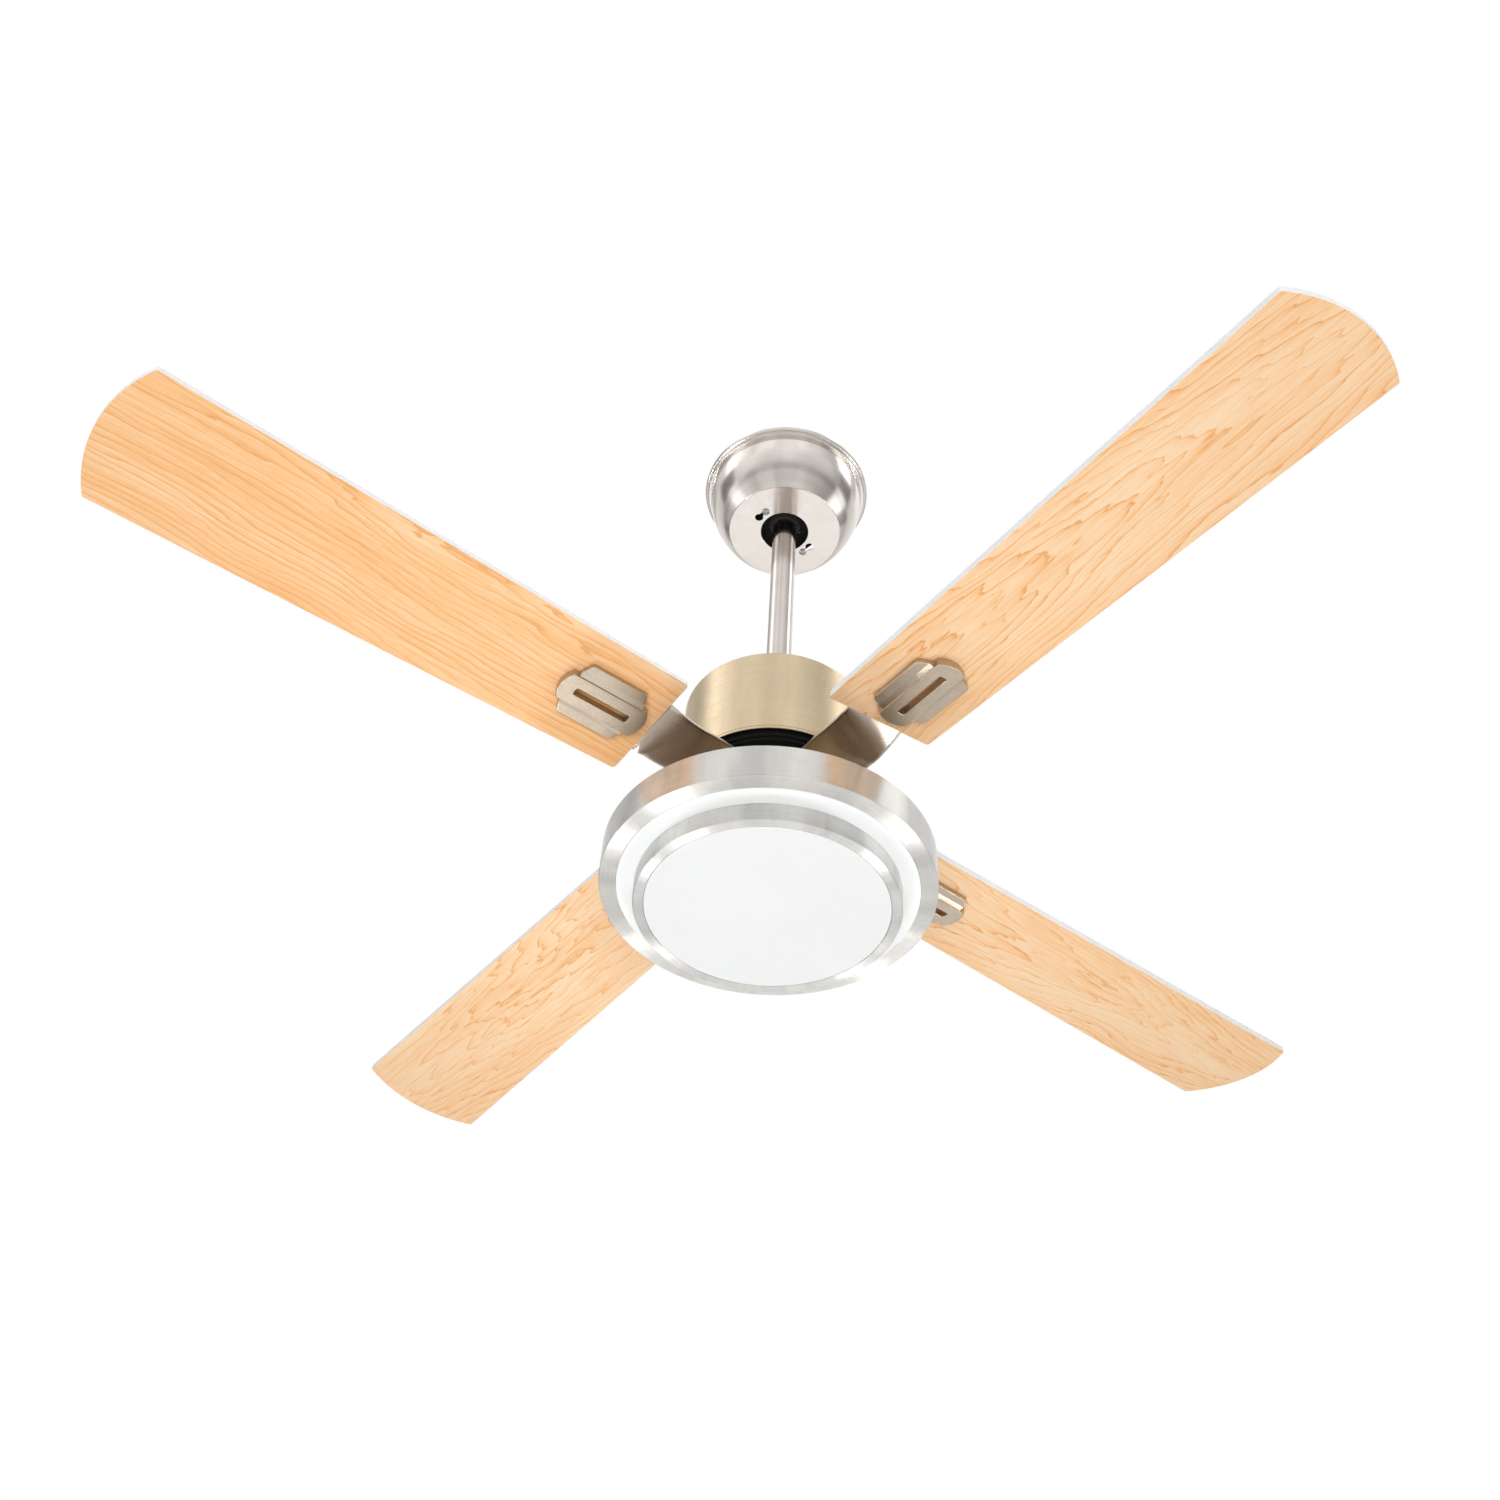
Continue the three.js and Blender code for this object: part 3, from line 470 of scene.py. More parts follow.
def moulded(name, color, rough, grain=700, depth=0.00002, mottle=0.05, specular=0.5):
    """Plastic, rubber, paint or enamel with a fine skin."""
    look = Look(name, specular_ior_level=specular)
    skin = look.noise(look.coords, scale=grain, detail=2)
    cloud = look.noise(look.coords, scale=22, detail=4)
    shade = look.spread(cloud, 1 - mottle, 1 + mottle)
    look.set(base_color=look.mix(1.0, color, look.grey(shade), "MULTIPLY"),
             roughness=look.spread(cloud, rough * 0.88, rough * 1.12))
    look.bump(skin, depth, 0.5)
    return look.material


def opal(name, color):
    """Opal acrylic: smooth, with a faint clouding below the surface."""
    look = Look(name, roughness=0.28)
    cloud = look.noise(look.coords, scale=14, detail=3)
    fine = look.noise(look.coords, scale=600, detail=1)
    look.set(base_color=look.mix(1.0, color, look.grey(look.spread(cloud, 0.985, 1.01)), "MULTIPLY"))
    look.shader.inputs["Subsurface Weight"].default_value = 0.15
    look.shader.inputs["Subsurface Scale"].default_value = 0.003
    look.bump(fine, 0.000004, 0.3)
    return look.material


HEART_WIDTH = 0.024               # metres beside the heart line where the rings lie wide and pointed
# One ring, from its start to its end: (place, darkness).
RING_LINE = [(0.0, 0.95), (0.025, 0.0), (0.35, 0.03), (0.7, 0.17), (0.89, 0.4), (0.95, 1.0), (1.0, 1.0)]
# From the palest wood to the darkest line.
WOOD_COLOURS = [(0.0, (0.935, 0.69, 0.45)), (0.25, (0.925, 0.60, 0.34)),
                (0.55, (0.895, 0.495, 0.215)), (1.0, (0.80, 0.385, 0.14))]


def maple(name, seed, rings, middle, slope, flames, tone):
    """Maple veneer along X. The rings run straight beside the board's heart line and end in points along it.

    rings: rings per metre across the board; middle: the heart line's place across it; slope: how fast the
    rings run out along the board; flames: how far their points reach; tone: how dark the wood is.
    """
    look = Look(name, specular_ior_level=0.35)
    m = look.math
    x = m("ADD", look.x, seed * 1.37)
    y = look.y

    def streaks(along, across, shift, detail, rough=0.5):
        place = look.vector(m("MULTIPLY", x, along), m("MULTIPLY", y, across), seed + shift)
        return look.noise(place, detail=detail, rough=rough)

    drift = streaks(2.6, 3, 0, 2)
    sway = streaks(9, 22, 4, 3)
    point = streaks(8, 52, 9, 3)
    side = m("ADD", m("SUBTRACT", y, middle), look.spread(drift, -0.02, 0.02, 0.25, 0.75))
    side = m("ADD", side, look.spread(sway, -0.003, 0.003, 0.25, 0.75))
    far = m("SQRT", m("ADD", m("MULTIPLY", side, side), HEART_WIDTH ** 2))
    heart = m("DIVIDE", HEART_WIDTH, far)
    count = m("ADD", m("MULTIPLY", far, rings), m("MULTIPLY", x, slope))
    reach = m("ADD", 0.35, m("MULTIPLY", heart, flames))
    count = m("ADD", count, m("MULTIPLY", look.spread(point, -1, 1, 0.25, 0.75), reach))
    ring = m("ADD", m("FLOOR", count), seed)
    chance = look.add("ShaderNodeTexWhiteNoise", {"W": ring}, noise_dimensions="1D").outputs["Value"]
    strength = look.spread(chance, 0.25, 1.0, 0, 1)
    line = look.ramp(m("FRACT", count), [(place, (level,) * 3) for place, level in RING_LINE])
    fibre = streaks(38, 1300, 0, 2, 0.6)
    amount = m("ADD", m("MULTIPLY", line, strength), tone)
    amount = m("ADD", amount, look.spread(streaks(4, 26, 6, 3), -0.12, 0.16))
    amount = m("ADD", amount, look.spread(fibre, -0.15, 0.15))
    amount = m("ADD", amount, look.spread(streaks(11, 420, 7, 2), -0.11, 0.11))
    amount = m("ADD", amount, look.spread(streaks(120, 900, 2, 1), 0.0, 0.2, 0.64, 0.76))
    look.set(base_color=look.ramp(amount, WOOD_COLOURS), roughness=look.spread(fibre, 0.42, 0.52))
    look.bump(m("ADD", fibre, m("MULTIPLY", line, 0.3)), 0.00002, 0.25)
    return look.material


def white_laminate(name):
    """White melamine with a faint pressed grain along X."""
    look = Look(name, specular_ior_level=0.35)
    place = look.vector(look.math("MULTIPLY", look.x, 40), look.math("MULTIPLY", look.y, 260), 0.0)
    grain = look.noise(place, detail=3)
    look.set(base_color=look.ramp(grain, [(0.3, (0.78, 0.785, 0.78)), (0.7, (0.85, 0.855, 0.85))]),
             roughness=look.spread(grain, 0.4, 0.5))
    look.bump(grain, 0.00002, 0.2)
    return look.material


LOOKS = {
    # for the spun metals the sixth number is how strong their painted reflection wedges are, and warm is the
    # colour some of those wedges are painted in
    "canopy": spun_metal("canopy_nickel", (0.74, 0.69, 0.645), 0.17, 0.4, 0.03, 0.03, 700),
    "rod": strip_metal("rod_nickel", (0.61, 0.555, 0.515), 0.2, 0.05, "Z"),
    "drum": spun_metal("champagne_nickel", (0.725, 0.58, 0.39), 0.29, 0.95, 0.07, 0.04, 1100,
                       warm=(0.755, 0.615, 0.42)),
    "arm": strip_metal("bronze_nickel", (0.60, 0.52, 0.44), 0.3, 0.06, "X"),
    "pan": spun_metal("pan_bronze_nickel", (0.30, 0.235, 0.175), 0.35, 0.5, 0.08, 0.05, 1100),
    "medal": cast_metal("cast_nickel", (0.55, 0.46, 0.36), 0.3, 420, 0.00002),
    "medal_rough": cast_metal("cast_nickel_rough", (0.66, 0.57, 0.45), 0.36, 900, 0.00006),
    "ring": spun_metal("brushed_aluminium", (0.86, 0.845, 0.815), 0.33, 1.0, 0.06, 0.16, 1300,
                       warm=(0.75, 0.725, 0.68)),
    "ring_polished": spun_metal("polished_aluminium", (0.89, 0.88, 0.86), 0.33, 1.0, 0.05, 0.20, 1300,
                                warm=(0.70, 0.685, 0.66)),
    "opal": opal("opal_acrylic", (0.80, 0.805, 0.805)),
    "opal_ring": opal("opal_acrylic_ring", (0.92, 0.93, 0.925)),
    "black": moulded("black_stove_paint", (0.005, 0.0055, 0.006), 0.5, 500, 0.00004, 0.2, specular=0.15),
    "rubber": moulded("black_rubber", (0.012, 0.011, 0.011), 0.42, 900, 0.00003, 0.2, specular=0.3),
    "steel": cast_metal("zinc_steel", (0.50, 0.50, 0.51), 0.3, 800, 0.00002),
    "laminations": strip_metal("laminated_steel", (0.25, 0.25, 0.26), 0.45),
    "bearing": spun_metal("bearing_steel", (0.55, 0.55, 0.56), 0.2, 0.5, 0.06, 0.05),
    "copper": spun_metal("enamelled_copper", (0.62, 0.24, 0.09), 0.3, 0.4, 0.3, 0.1, 1500),
    "black_plastic": moulded("black_plastic", (0.02, 0.02, 0.022), 0.45),
    "white_plastic": moulded("white_plastic", (0.76, 0.76, 0.74), 0.45),
    "laminate": white_laminate("white_laminate"),
    "maple_1": maple("maple_1", 3.1, 135, 0.002, 17, 1.0, 0.13),
    "maple_2": maple("maple_2", 8.3, 120, 0.022, 13, 1.2, 0.10),
    "maple_3": maple("maple_3", 17.6, 175, 0.075, 8, 0.9, 0.37),
    "maple_4": maple("maple_4", 12.9, 130, -0.014, 18, 1.0, 0.15),
}


# ---------------------------------------------------------------------------------------------------
# Screws
# ---------------------------------------------------------------------------------------------------
def screw_mesh(name, head_r, head, shank_r, length):
    """A pan-head screw with a cross recess. The head lies below z = 0 and the shank above it."""
    shoulder = head * 0.45
    outline = rounded([(0, -head), (head_r * 0.55, -head, head_r * 0.8), (head_r, -shoulder, head * 0.5),
                       (head_r, 0), (shank_r, 0), (shank_r, length, 0.4), (0, length)])
    recess = rounded(box(head_r * 0.62, head_r * 0.13, 0.1))
    body = turned(name, outline, SCREW_SIDES)
    for turn in (0, 90):
        cross = slab("bar", recess, -head - 1, -shoulder)
        cross.transform(at(0, 0, 0, turn))
        body = carved(body, cross)
    return body


blade_screw = screw_mesh("blade_screw", 4.4, 2, 2, 13.4)
arm_screw = screw_mesh("arm_screw", 4.4, 2.2, 2.2, 7)
keyhole_screw = screw_mesh("keyhole_screw", 4, 2, 2, 15.5)
cover_screw = screw_mesh("cover_screw", 3.8, 2, 2, 7)
bell_screw = screw_mesh("bell_screw", 2.6, 1.5, 1.3, 3)


# ---------------------------------------------------------------------------------------------------
# Canopy, ball and drop rod
# ---------------------------------------------------------------------------------------------------
bowl = arc(BOWL_X, BOWL_Z, BOWL_WIDE, BOWL_DEEP, -BOWL_CUT, 0, 30)
inside = arc(BOWL_X, BOWL_Z, BOWL_WIDE - 1, BOWL_DEEP - 1.19, 0, -BOWL_CUT, 14)
base_corner = (CANOPY_BASE_R, CANOPY_LOW, 1.8)
base_edge = rounded([(CANOPY_FLAT, CANOPY_LOW), base_corner, bowl[BASE_JOIN]])[1:-1]
beads = rounded([(84, -10.4), (87.5, -10, 1.6), (88.7, -7.8, 1.4), (87.9, -6.3, 0.5), (90.2, -6, 1.2),
                 (91, -3.6, 1.4), (90.6, -1, 0.8), (88, -1)], 20)
lip = [(CANOPY_HOLE, CANOPY_LOW + 1), (CANOPY_HOLE, CANOPY_LOW + 0.3), (CANOPY_HOLE + 0.3, CANOPY_LOW)]
canopy_outline = [*lip, (CANOPY_FLAT, CANOPY_LOW), *base_edge, *bowl[BASE_JOIN:], *beads[1:], *inside,
                  (CANOPY_FLAT, CANOPY_LOW + 1)]
canopy = turned("canopy_shell", canopy_outline)
for a in KEYHOLE_TURNS:
    radius = KEYHOLE_WIDE_R if a == KEYHOLE_TURNS[0] else KEYHOLE_SLOT_R
    out = at(KEYHOLE_OUT * math.cos(math.radians(a)), KEYHOLE_OUT * math.sin(math.radians(a)), 0)
    for half in (0, 180):
        hole = slab("hole", circle(0, 0, radius), CANOPY_LOW - 6, CANOPY_LOW + 8)
        hole.transform(Matrix.Rotation(math.radians(half), 4, "Z") @ out)
        canopy = carved(canopy, hole)
piece("canopy_shell", canopy, "ceiling_mount", [LOOKS["canopy"]], ["canopy"])
for i, turn in enumerate((KEYHOLE_TURNS[-1], KEYHOLE_TURNS[-1] + 180)):
    place = at(0, 0, 0, turn) @ at(KEYHOLE_OUT, 0, CANOPY_LOW - 0.3, 20)
    piece(f"keyhole_screw_{i + 1}", keyhole_screw, "ceiling_mount", [LOOKS["steel"]],
          [f"canopy_screw_{i + 1}"], place)

ball_half = math.degrees(math.acos(BALL_BORE / BALL_R))
ball_outline = arc(0, BALL_Z, BALL_R, BALL_R, -ball_half, ball_half, 30)
piece("ball_smooth", turned("ball_smooth", ball_outline, BALL_SIDES), "hanging_body",
      [LOOKS["rubber"]], ["hanger_ball"])
rod_outline = rounded([(ROD_BORE, ROD_LOW), (ROD_R, ROD_LOW, 0.4), (ROD_R, ROD_HIGH, 0.4),
                       (ROD_BORE, ROD_HIGH, 0.3)])
piece("rod_tube", turned("rod_tube", rod_outline, ROD_SIDES), "hanging_body",
      [LOOKS["rod"]], ["downrod"])


# ---------------------------------------------------------------------------------------------------
# Motor cover, rotor and switch housing
# ---------------------------------------------------------------------------------------------------
drum_outline = rounded([
    (COVER_R - SHEET, COVER_LOW, 0.3), (COVER_R, COVER_LOW, 0.4), (COVER_R, COVER_LOW + 2.6),
    (COVER_R - 0.6, COVER_LOW + 3), (COVER_R, COVER_LOW + 3.4), (COVER_R, COVER_TOP, 3.5),
    (COVER_HOLE, COVER_TOP, 0.4), (COVER_HOLE, COVER_TOP - SHEET), (COVER_R - SHEET, COVER_TOP - SHEET, 2.4)])
piece("motor_drum", turned("motor_drum", drum_outline, FINE_ROUND), "hanging_body",
      [LOOKS["drum"]], ["motor_cover"])
for i, side in enumerate((-1, 1)):
    place = at(0, side * COVER_SCREW_OUT, COVER_TOP + 0.3, 30) @ Matrix.Rotation(math.pi, 4, "X")
    piece(f"cover_screw_head_{i + 1}", cover_screw, "hanging_body", [LOOKS["steel"]],
          [f"cover_screw_{i + 1}"], place)

bell_outline = rounded([
    (BELL_HOLE, BELL_LOW, 0.5), (BELL_R - 5, BELL_LOW, 0.8), (BELL_R - 3.8, BELL_LOW + 1.4, 0.6),
    (BELL_R, BELL_LOW + 1.4, 1.2), (BELL_R, BELL_TOP, 0.6), (BELL_R - 2.6, BELL_TOP),
    (BELL_R - 2.6, BELL_LOW + 5, 1.5), (22, BELL_LOW + 5), (22, BELL_BOSS_TOP, 0.8),
    (BELL_HOLE, BELL_BOSS_TOP)])
piece("rotor_bell", turned("rotor_bell", bell_outline), "rotor", [LOOKS["black"]],
      ["rotor_lower_shell"])
for i in range(2 * BLADE_COUNT):
    turn = BLADE_TURN + BLADE_STEP / 2 * i + BELL_SCREW_TURN
    piece(f"bell_screw_{i + 1}", bell_screw, "rotor", [LOOKS["black"]], [],
          at(0, 0, 0, turn) @ at(BELL_SCREW_OUT, 0, BELL_LOW, 15))

housing_outline = rounded([
    (HOUSING_R - SHEET, HOUSING_LOW), (HOUSING_R, HOUSING_LOW, 0.3), (HOUSING_R, HOUSING_TOP, 2),
    (SHAFT_HOLE, HOUSING_TOP, 0.3), (SHAFT_HOLE, HOUSING_TOP - SHEET),
    (HOUSING_R - SHEET, HOUSING_TOP - SHEET, 1.5)])
switch_slot = slab("slot", rounded(box(6.2, 2.6, 0.6)), HOUSING_R - 10, HOUSING_R + 5)
switch_slot.transform(at(0, 0, SWITCH_Z, 0, 90))
piece("switch_drum", carved(turned("switch_drum", housing_outline), switch_slot), "hanging_body",
      [LOOKS["drum"]], ["switch_housing"])


# ---------------------------------------------------------------------------------------------------
# Light
# ---------------------------------------------------------------------------------------------------
pan_outline = rounded([
    (SHAFT_HOLE, PAN_TOP - SHEET), (PAN_R - SHEET, PAN_TOP - SHEET, 0.6), (PAN_R - SHEET, PAN_LOW),
    (PAN_R, PAN_LOW), (PAN_R, PAN_TOP, 1.5), (PAN_GROOVE + 0.6, PAN_TOP), (PAN_GROOVE, PAN_TOP - 0.5),
    (PAN_GROOVE - 0.6, PAN_TOP), (SHAFT_HOLE, PAN_TOP, 0.3)])
pan = turned("pan_smooth", pan_outline, FINE_ROUND)
pan.materials.append(LOOKS["pan"])
pan.materials.append(LOOKS["ring"])
for polygon in pan.polygons:
    out = math.hypot(polygon.center.x, polygon.center.y)
    polygon.material_index = 1 if out > (PAN_GROOVE - 0.2) * MM else 0
piece("pan_smooth", pan, "hanging_body", [], ["light_pan"])

upper_outline = rounded([
    (RING_HOLE, RING_LOW, 0.5), (RING_R, RING_LOW, 1.0), (RING_R, PAN_TOP, 0.4),
    (RING_R - SHEET, PAN_TOP, 0.3), (RING_R - SHEET, RING_LOW + SHEET), (RING_HOLE, RING_LOW + SHEET, 0.4)])
piece("ring_upper", turned("ring_upper", upper_outline, RING_ROUND), "hanging_body",
      [LOOKS["ring"]], ["upper_ring"])

neck_outline = rounded([
    (LOWER_R + 0.1, RING_LOW - 2.2, 0.1), (RING_HOLE - 0.1, RING_LOW - 0.6, 0.4),
    (RING_HOLE - 0.1, RING_LOW + 1.5), (146, RING_LOW + 1.5), (146, RING_LOW + 3.7),
    (133.2, RING_LOW + 3.7), (131.7, RING_LOW + 1.5), (LOWER_R + 0.1, RING_LOW - 0.1)])
piece("diffuser_ring", turned("diffuser_ring", neck_outline, RING_ROUND), "hanging_body",
      [LOOKS["opal_ring"]], ["upper_diffuser"])

lower_outline = rounded([
    (LOWER_HOLE, LOWER_LOW, 0.5), (LOWER_R, LOWER_LOW, 1.4), (LOWER_R, RING_LOW + 1.1, 0.5),
    (124, RING_LOW + 1.1), (124, RING_LOW + 2.1), (LOWER_R - SHEET, RING_LOW + 2.1),
    (LOWER_R - SHEET, LOWER_LOW + 2.1), (LOWER_HOLE, LOWER_LOW + SHEET, 0.4)])
piece("ring_lower", turned("ring_lower", lower_outline, RING_ROUND), "hanging_body",
      [LOOKS["ring_polished"]], ["lower_ring"])


def disc_point(share, z):
    """A point of the disc's gentle bulge, a share of the way out."""
    return DISC_R * share, z - DISC_BULGE * (1 - share * share)


face = [disc_point(i / 14, DISC_LOW) for i in range(14)]
back = [disc_point(share, DISC_LOW + 2.4) for share in (0.9, 0.5, 0)]
rim = rounded([(100, DISC_LOW), (DISC_R, DISC_LOW, 0.7), (DISC_R, DISC_LOW + 1.6), (100, DISC_LOW + 1.6)])
disc_outline = [*face, *rim[1:-2], (DISC_R, DISC_LOW + 1.6), (116.6, DISC_LOW + 2.6),
                (116.6, DISC_LOW + 4.8), (DISC_R, DISC_LOW + 4.4), *back]
piece("diffuser_disc", turned("diffuser_disc", disc_outline, FINE_ROUND), "hanging_body",
      [LOOKS["opal"]], ["lower_diffuser"])


# ---------------------------------------------------------------------------------------------------
# Blades, arms and medallions
# ---------------------------------------------------------------------------------------------------
def blade_outline():
    """A tapered board with small rounded corners and a bowed tip."""
    half = BLADE_WIDTH / 2
    root_half = BLADE_ROOT_WIDTH / 2
    sag = BLADE_TIP - BLADE_SHOULDER
    tip_r = (half * half + sag * sag) / (2 * sag)
    spread = math.degrees(math.asin(half / tip_r)) - 1.4
    tip = arc(BLADE_TIP - tip_r, 0, tip_r, tip_r, -spread, spread, 40)
    corners = [(BLADE_ROOT, root_half, 3.5), (BLADE_ROOT, -root_half, 3.5), (BLADE_SHOULDER, -half, 3.0)]
    return rounded([*corners, *tip, (BLADE_SHOULDER, half, 3.0)])


blade_droop = Matrix.Rotation(math.radians(BLADE_DROOP), 4, "Y")
blade_pitch = Matrix.Rotation(math.radians(BLADE_PITCH), 4, "X")
blade_place = Matrix.Translation(Vector((0, BLADE_SIDE, BLADE_Z)) * MM) @ (blade_droop @ blade_pitch)


def blade_mesh(name, maple_look):
    """Maple on the underside, white laminate on the top and the edges."""
    mesh = slab(name, blade_outline(), 0, BOARD, edge=0.5)
    mesh.materials.append(maple_look)
    mesh.materials.append(LOOKS["laminate"])
    for polygon in mesh.polygons:
        polygon.material_index = 0 if polygon.normal.z < -0.8 else 1
    return mesh


def medallion_mesh():
    """A thick bar with bowed ends and a slot, over two thinner wings with a soft step between them."""
    ends = arc(34.0, 0, 8.5, 16.5, -68, 68, 16)[1:-1]
    low_left, low_right, high_right, high_left = box(38.5, 15.25, 1.5)
    bar = [low_left, low_right, *ends, high_right, high_left, *[(-x, -y) for x, y in ends]]
    half_wings = [(-28.1, -30, 4), (28.1, -30, 4), (33.75, -15, 2), (33.75, 15, 2)]
    wings = [*half_wings, *[(-x, -y, radius) for x, y, radius in half_wings]]
    parts = [(slab("bar", rounded(bar), -8.3, -0.3, [rounded(box(27.5, 3.8, 1.6))], 0.7), Matrix.Identity(4)),
             (slab("wings", rounded(wings), -5, -0.3, [rounded(box(29, 6))], 0.8), Matrix.Identity(4))]
    return merged("medallion_cast", parts)


def step_mesh():
    """The sloping cast step along both sides of the bar."""
    profile = [(14.6, -0.8), (14.6, -7.0), (16.2, -6.4), (19.6, -5.4), (20.6, -4.6), (20.6, -0.8)]
    parts = []
    for side in (-1, 1):
        bm = bmesh.new()
        rings = [[bm.verts.new((x * MM, side * y * MM, z * MM)) for y, z in profile]
                 for x in (-32.4, -31.6, 31.6, 32.4)]
        for first, second in zip(rings, rings[1:]):
            for k in range(len(profile)):
                n = (k + 1) % len(profile)
                bm.faces.new((first[k], first[n], second[n], second[k]))
        bm.faces.new(rings[0])
        bm.faces.new(rings[-1])
        parts.append((to_mesh(bm, "step", 50), Matrix.Identity(4)))
    return merged("medallion_step", parts, 50)


def smooth_step(t):
    """From 0 to 1 with soft ends."""
    t = min(max(t, 0), 1)
    return t * t * (3 - 2 * t)


def across_arm(share, inset=0.0):
    """The place across the arm, a share of the way from its low side to its high side."""
    return ARM_LOW + inset + (ARM_HIGH - ARM_LOW - 2 * inset) * share


def crease_x(share):
    """How far out the slanting fold begins, a share of the way across the arm."""
    return CREASE_LOW + (CREASE_HIGH - CREASE_LOW) * share


def flat_point(x, share):
    """Under the rotor. The rows are squeezed up to the crease, with a shallow bowed dip before it."""
    crease = crease_x(share)
    x = ARM_START + (x - ARM_START) * (crease - ARM_START - 2) / (FLAT_ROWS[-1] - ARM_START)
    bow = DIP_X + DIP_BOW * (share - 0.5) ** 2 * 4
    dip = -DIP_DEPTH * smooth_step((x - bow + 9) / 12) * smooth_step((crease - 1 - x) / 8)
    return Vector((x, across_arm(share) + BLADE_SIDE, ARM_Z + dip)) * MM


def fold_point(way, share):
    """From the crease up to the blade, a little bowed down."""
    y = across_arm(share)
    low = Vector((crease_x(share), y + BLADE_SIDE, ARM_Z)) * MM
    high = blade_place @ (Vector((FOLD_END, y, ARM_SEAT)) * MM)
    return low.lerp(high, way) - Vector((0, 0, 4 * FOLD_SAG * way * (1 - way))) * MM


def blade_point(x, share):
    """On the blade, up to the arm's rounded end."""
    return blade_place @ (Vector((x, across_arm(share, ARM_CORNER.get(x, 0)), ARM_SEAT)) * MM)


def arm_mesh():
    """The folded arm's underside: flat under the rotor, then up a slanting crease onto the blade."""
    rows = [(flat_point, x) for x in FLAT_ROWS]
    rows += [(fold_point, k / FOLD_STEPS) for k in range(FOLD_STEPS + 1)]
    rows += [(blade_point, x) for x in BLADE_ROWS]
    shares = [k / ARM_COLUMNS for k in range(ARM_COLUMNS + 1)]
    bm = bmesh.new()
    lines = [[bm.verts.new(point(where, share)) for share in shares] for point, where in rows]
    for first, second in zip(lines, lines[1:]):
        for k in range(ARM_COLUMNS):
            bm.faces.new((first[k], first[k + 1], second[k + 1], second[k]))
    return to_mesh(bm, "arm_strip", 30)


medallion = medallion_mesh()
step = step_mesh()
arm = arm_mesh()
arm_middle = BLADE_SIDE + (ARM_LOW + ARM_HIGH) / 2
arm_top = ARM_SEAT + ARM_THICK
for i in range(BLADE_COUNT):
    n = i + 1
    turn = Matrix.Rotation(math.radians(BLADE_TURN + BLADE_STEP * i), 4, "Z")
    place = turn @ blade_place
    piece(f"blade_board_{n}", blade_mesh(f"blade_board_{n}", LOOKS[f"maple_{n}"]), "rotor",
          [], [f"blade_{n}"], place)
    seat = place @ Matrix.Translation(Vector((MEDAL_X, MEDAL_Y, 0)) * MM)
    piece(f"medallion_cast_{n}", medallion, "rotor", [LOOKS["medal"]], [f"medallion_{n}"],
          seat)
    piece(f"medallion_step_{n}", step, "rotor", [LOOKS["medal_rough"]], [], seat)
    piece(f"medallion_pin_{n}", keyhole_screw, "rotor", [LOOKS["steel"]], [],
          seat @ at(-23.5, 0, -2.2) @ Matrix.Scale(0.55, 4) @ Matrix.Scale(0.4, 4, (0, 0, 1)))
    strip = piece(f"arm_strip_{n}", arm, "rotor", [LOOKS["arm"]], [f"blade_arm_{n}"], turn)
    strip.modifiers.clear()
    solid = strip.modifiers.new("thickness", "SOLIDIFY")
    solid.thickness = ARM_THICK * MM
    solid.offset = 1
    soften(strip, 0.35, 50)
    for j, side in enumerate((-1, 1)):
        piece(f"arm_screw_head_{n}_{j + 1}", arm_screw, "rotor", [LOOKS["steel"]],
              [f"arm_screw_{n}_{j + 1}"],
              turn @ at(ARM_SCREW_X, arm_middle + side * ARM_SCREW_SIDE, ARM_Z - 0.3, 25 + 40 * j))
        top = place @ at(MEDAL_X + side * MEDAL_SCREW, MEDAL_Y, arm_top + 0.3, 15 + 50 * j)
        piece(f"blade_screw_head_{n}_{j + 1}", blade_screw, "rotor", [LOOKS["steel"]],
              [f"blade_screw_{n}_{j + 1}"], top @ Matrix.Rotation(math.pi, 4, "X"))


# ---------------------------------------------------------------------------------------------------
# CAD pieces that stay, with softened edges
# ---------------------------------------------------------------------------------------------------
KEPT = {
    "hanger_bracket": "black", "ball_pin": "steel", "motor_yoke": "steel", "yoke_pin": "steel",
    "yoke_clip": "steel", "motor_shaft": "steel", "shaft_nut": "steel", "stator_core": "laminations",
    "rotor_core": "laminations", "stator_winding": "copper", "rotor_upper_shell": "black",
    "lower_bearing": "bearing", "upper_bearing": "bearing", "reverse_switch": "white_plastic",
    "reverse_slider": "black_plastic", "capacitor": "black_plastic", "led_board": "white_plastic",
}
for name, look in KEPT.items():
    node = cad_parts[name]
    node.data.materials.clear()
    node.data.materials.append(LOOKS[look])
    soften(node, 0.3, 40)


# ---------------------------------------------------------------------------------------------------
# Floor, light and camera
# ---------------------------------------------------------------------------------------------------
def floor():
    """A pale floor far below. The metals don't mirror it, so their undersides take the room's levels."""
    bm = bmesh.new()
    bmesh.ops.create_grid(bm, x_segments=8, y_segments=8, size=FLOOR_HALF)
    mesh = to_mesh(bm, "floor")
    look = Look("pale_floor", roughness=0.6)
    cloud = look.noise(look.coords, scale=1.5, detail=4)
    look.set(base_color=look.ramp(cloud, [(0.3, (0.80, 0.80, 0.795)), (0.7, (0.84, 0.84, 0.835))]))
    mesh.materials.append(look.material)
    obj = bpy.data.objects.new("floor", mesh)
    bpy.context.scene.collection.objects.link(obj)
    obj.location.z = FLOOR_Z
    obj.visible_glossy = False


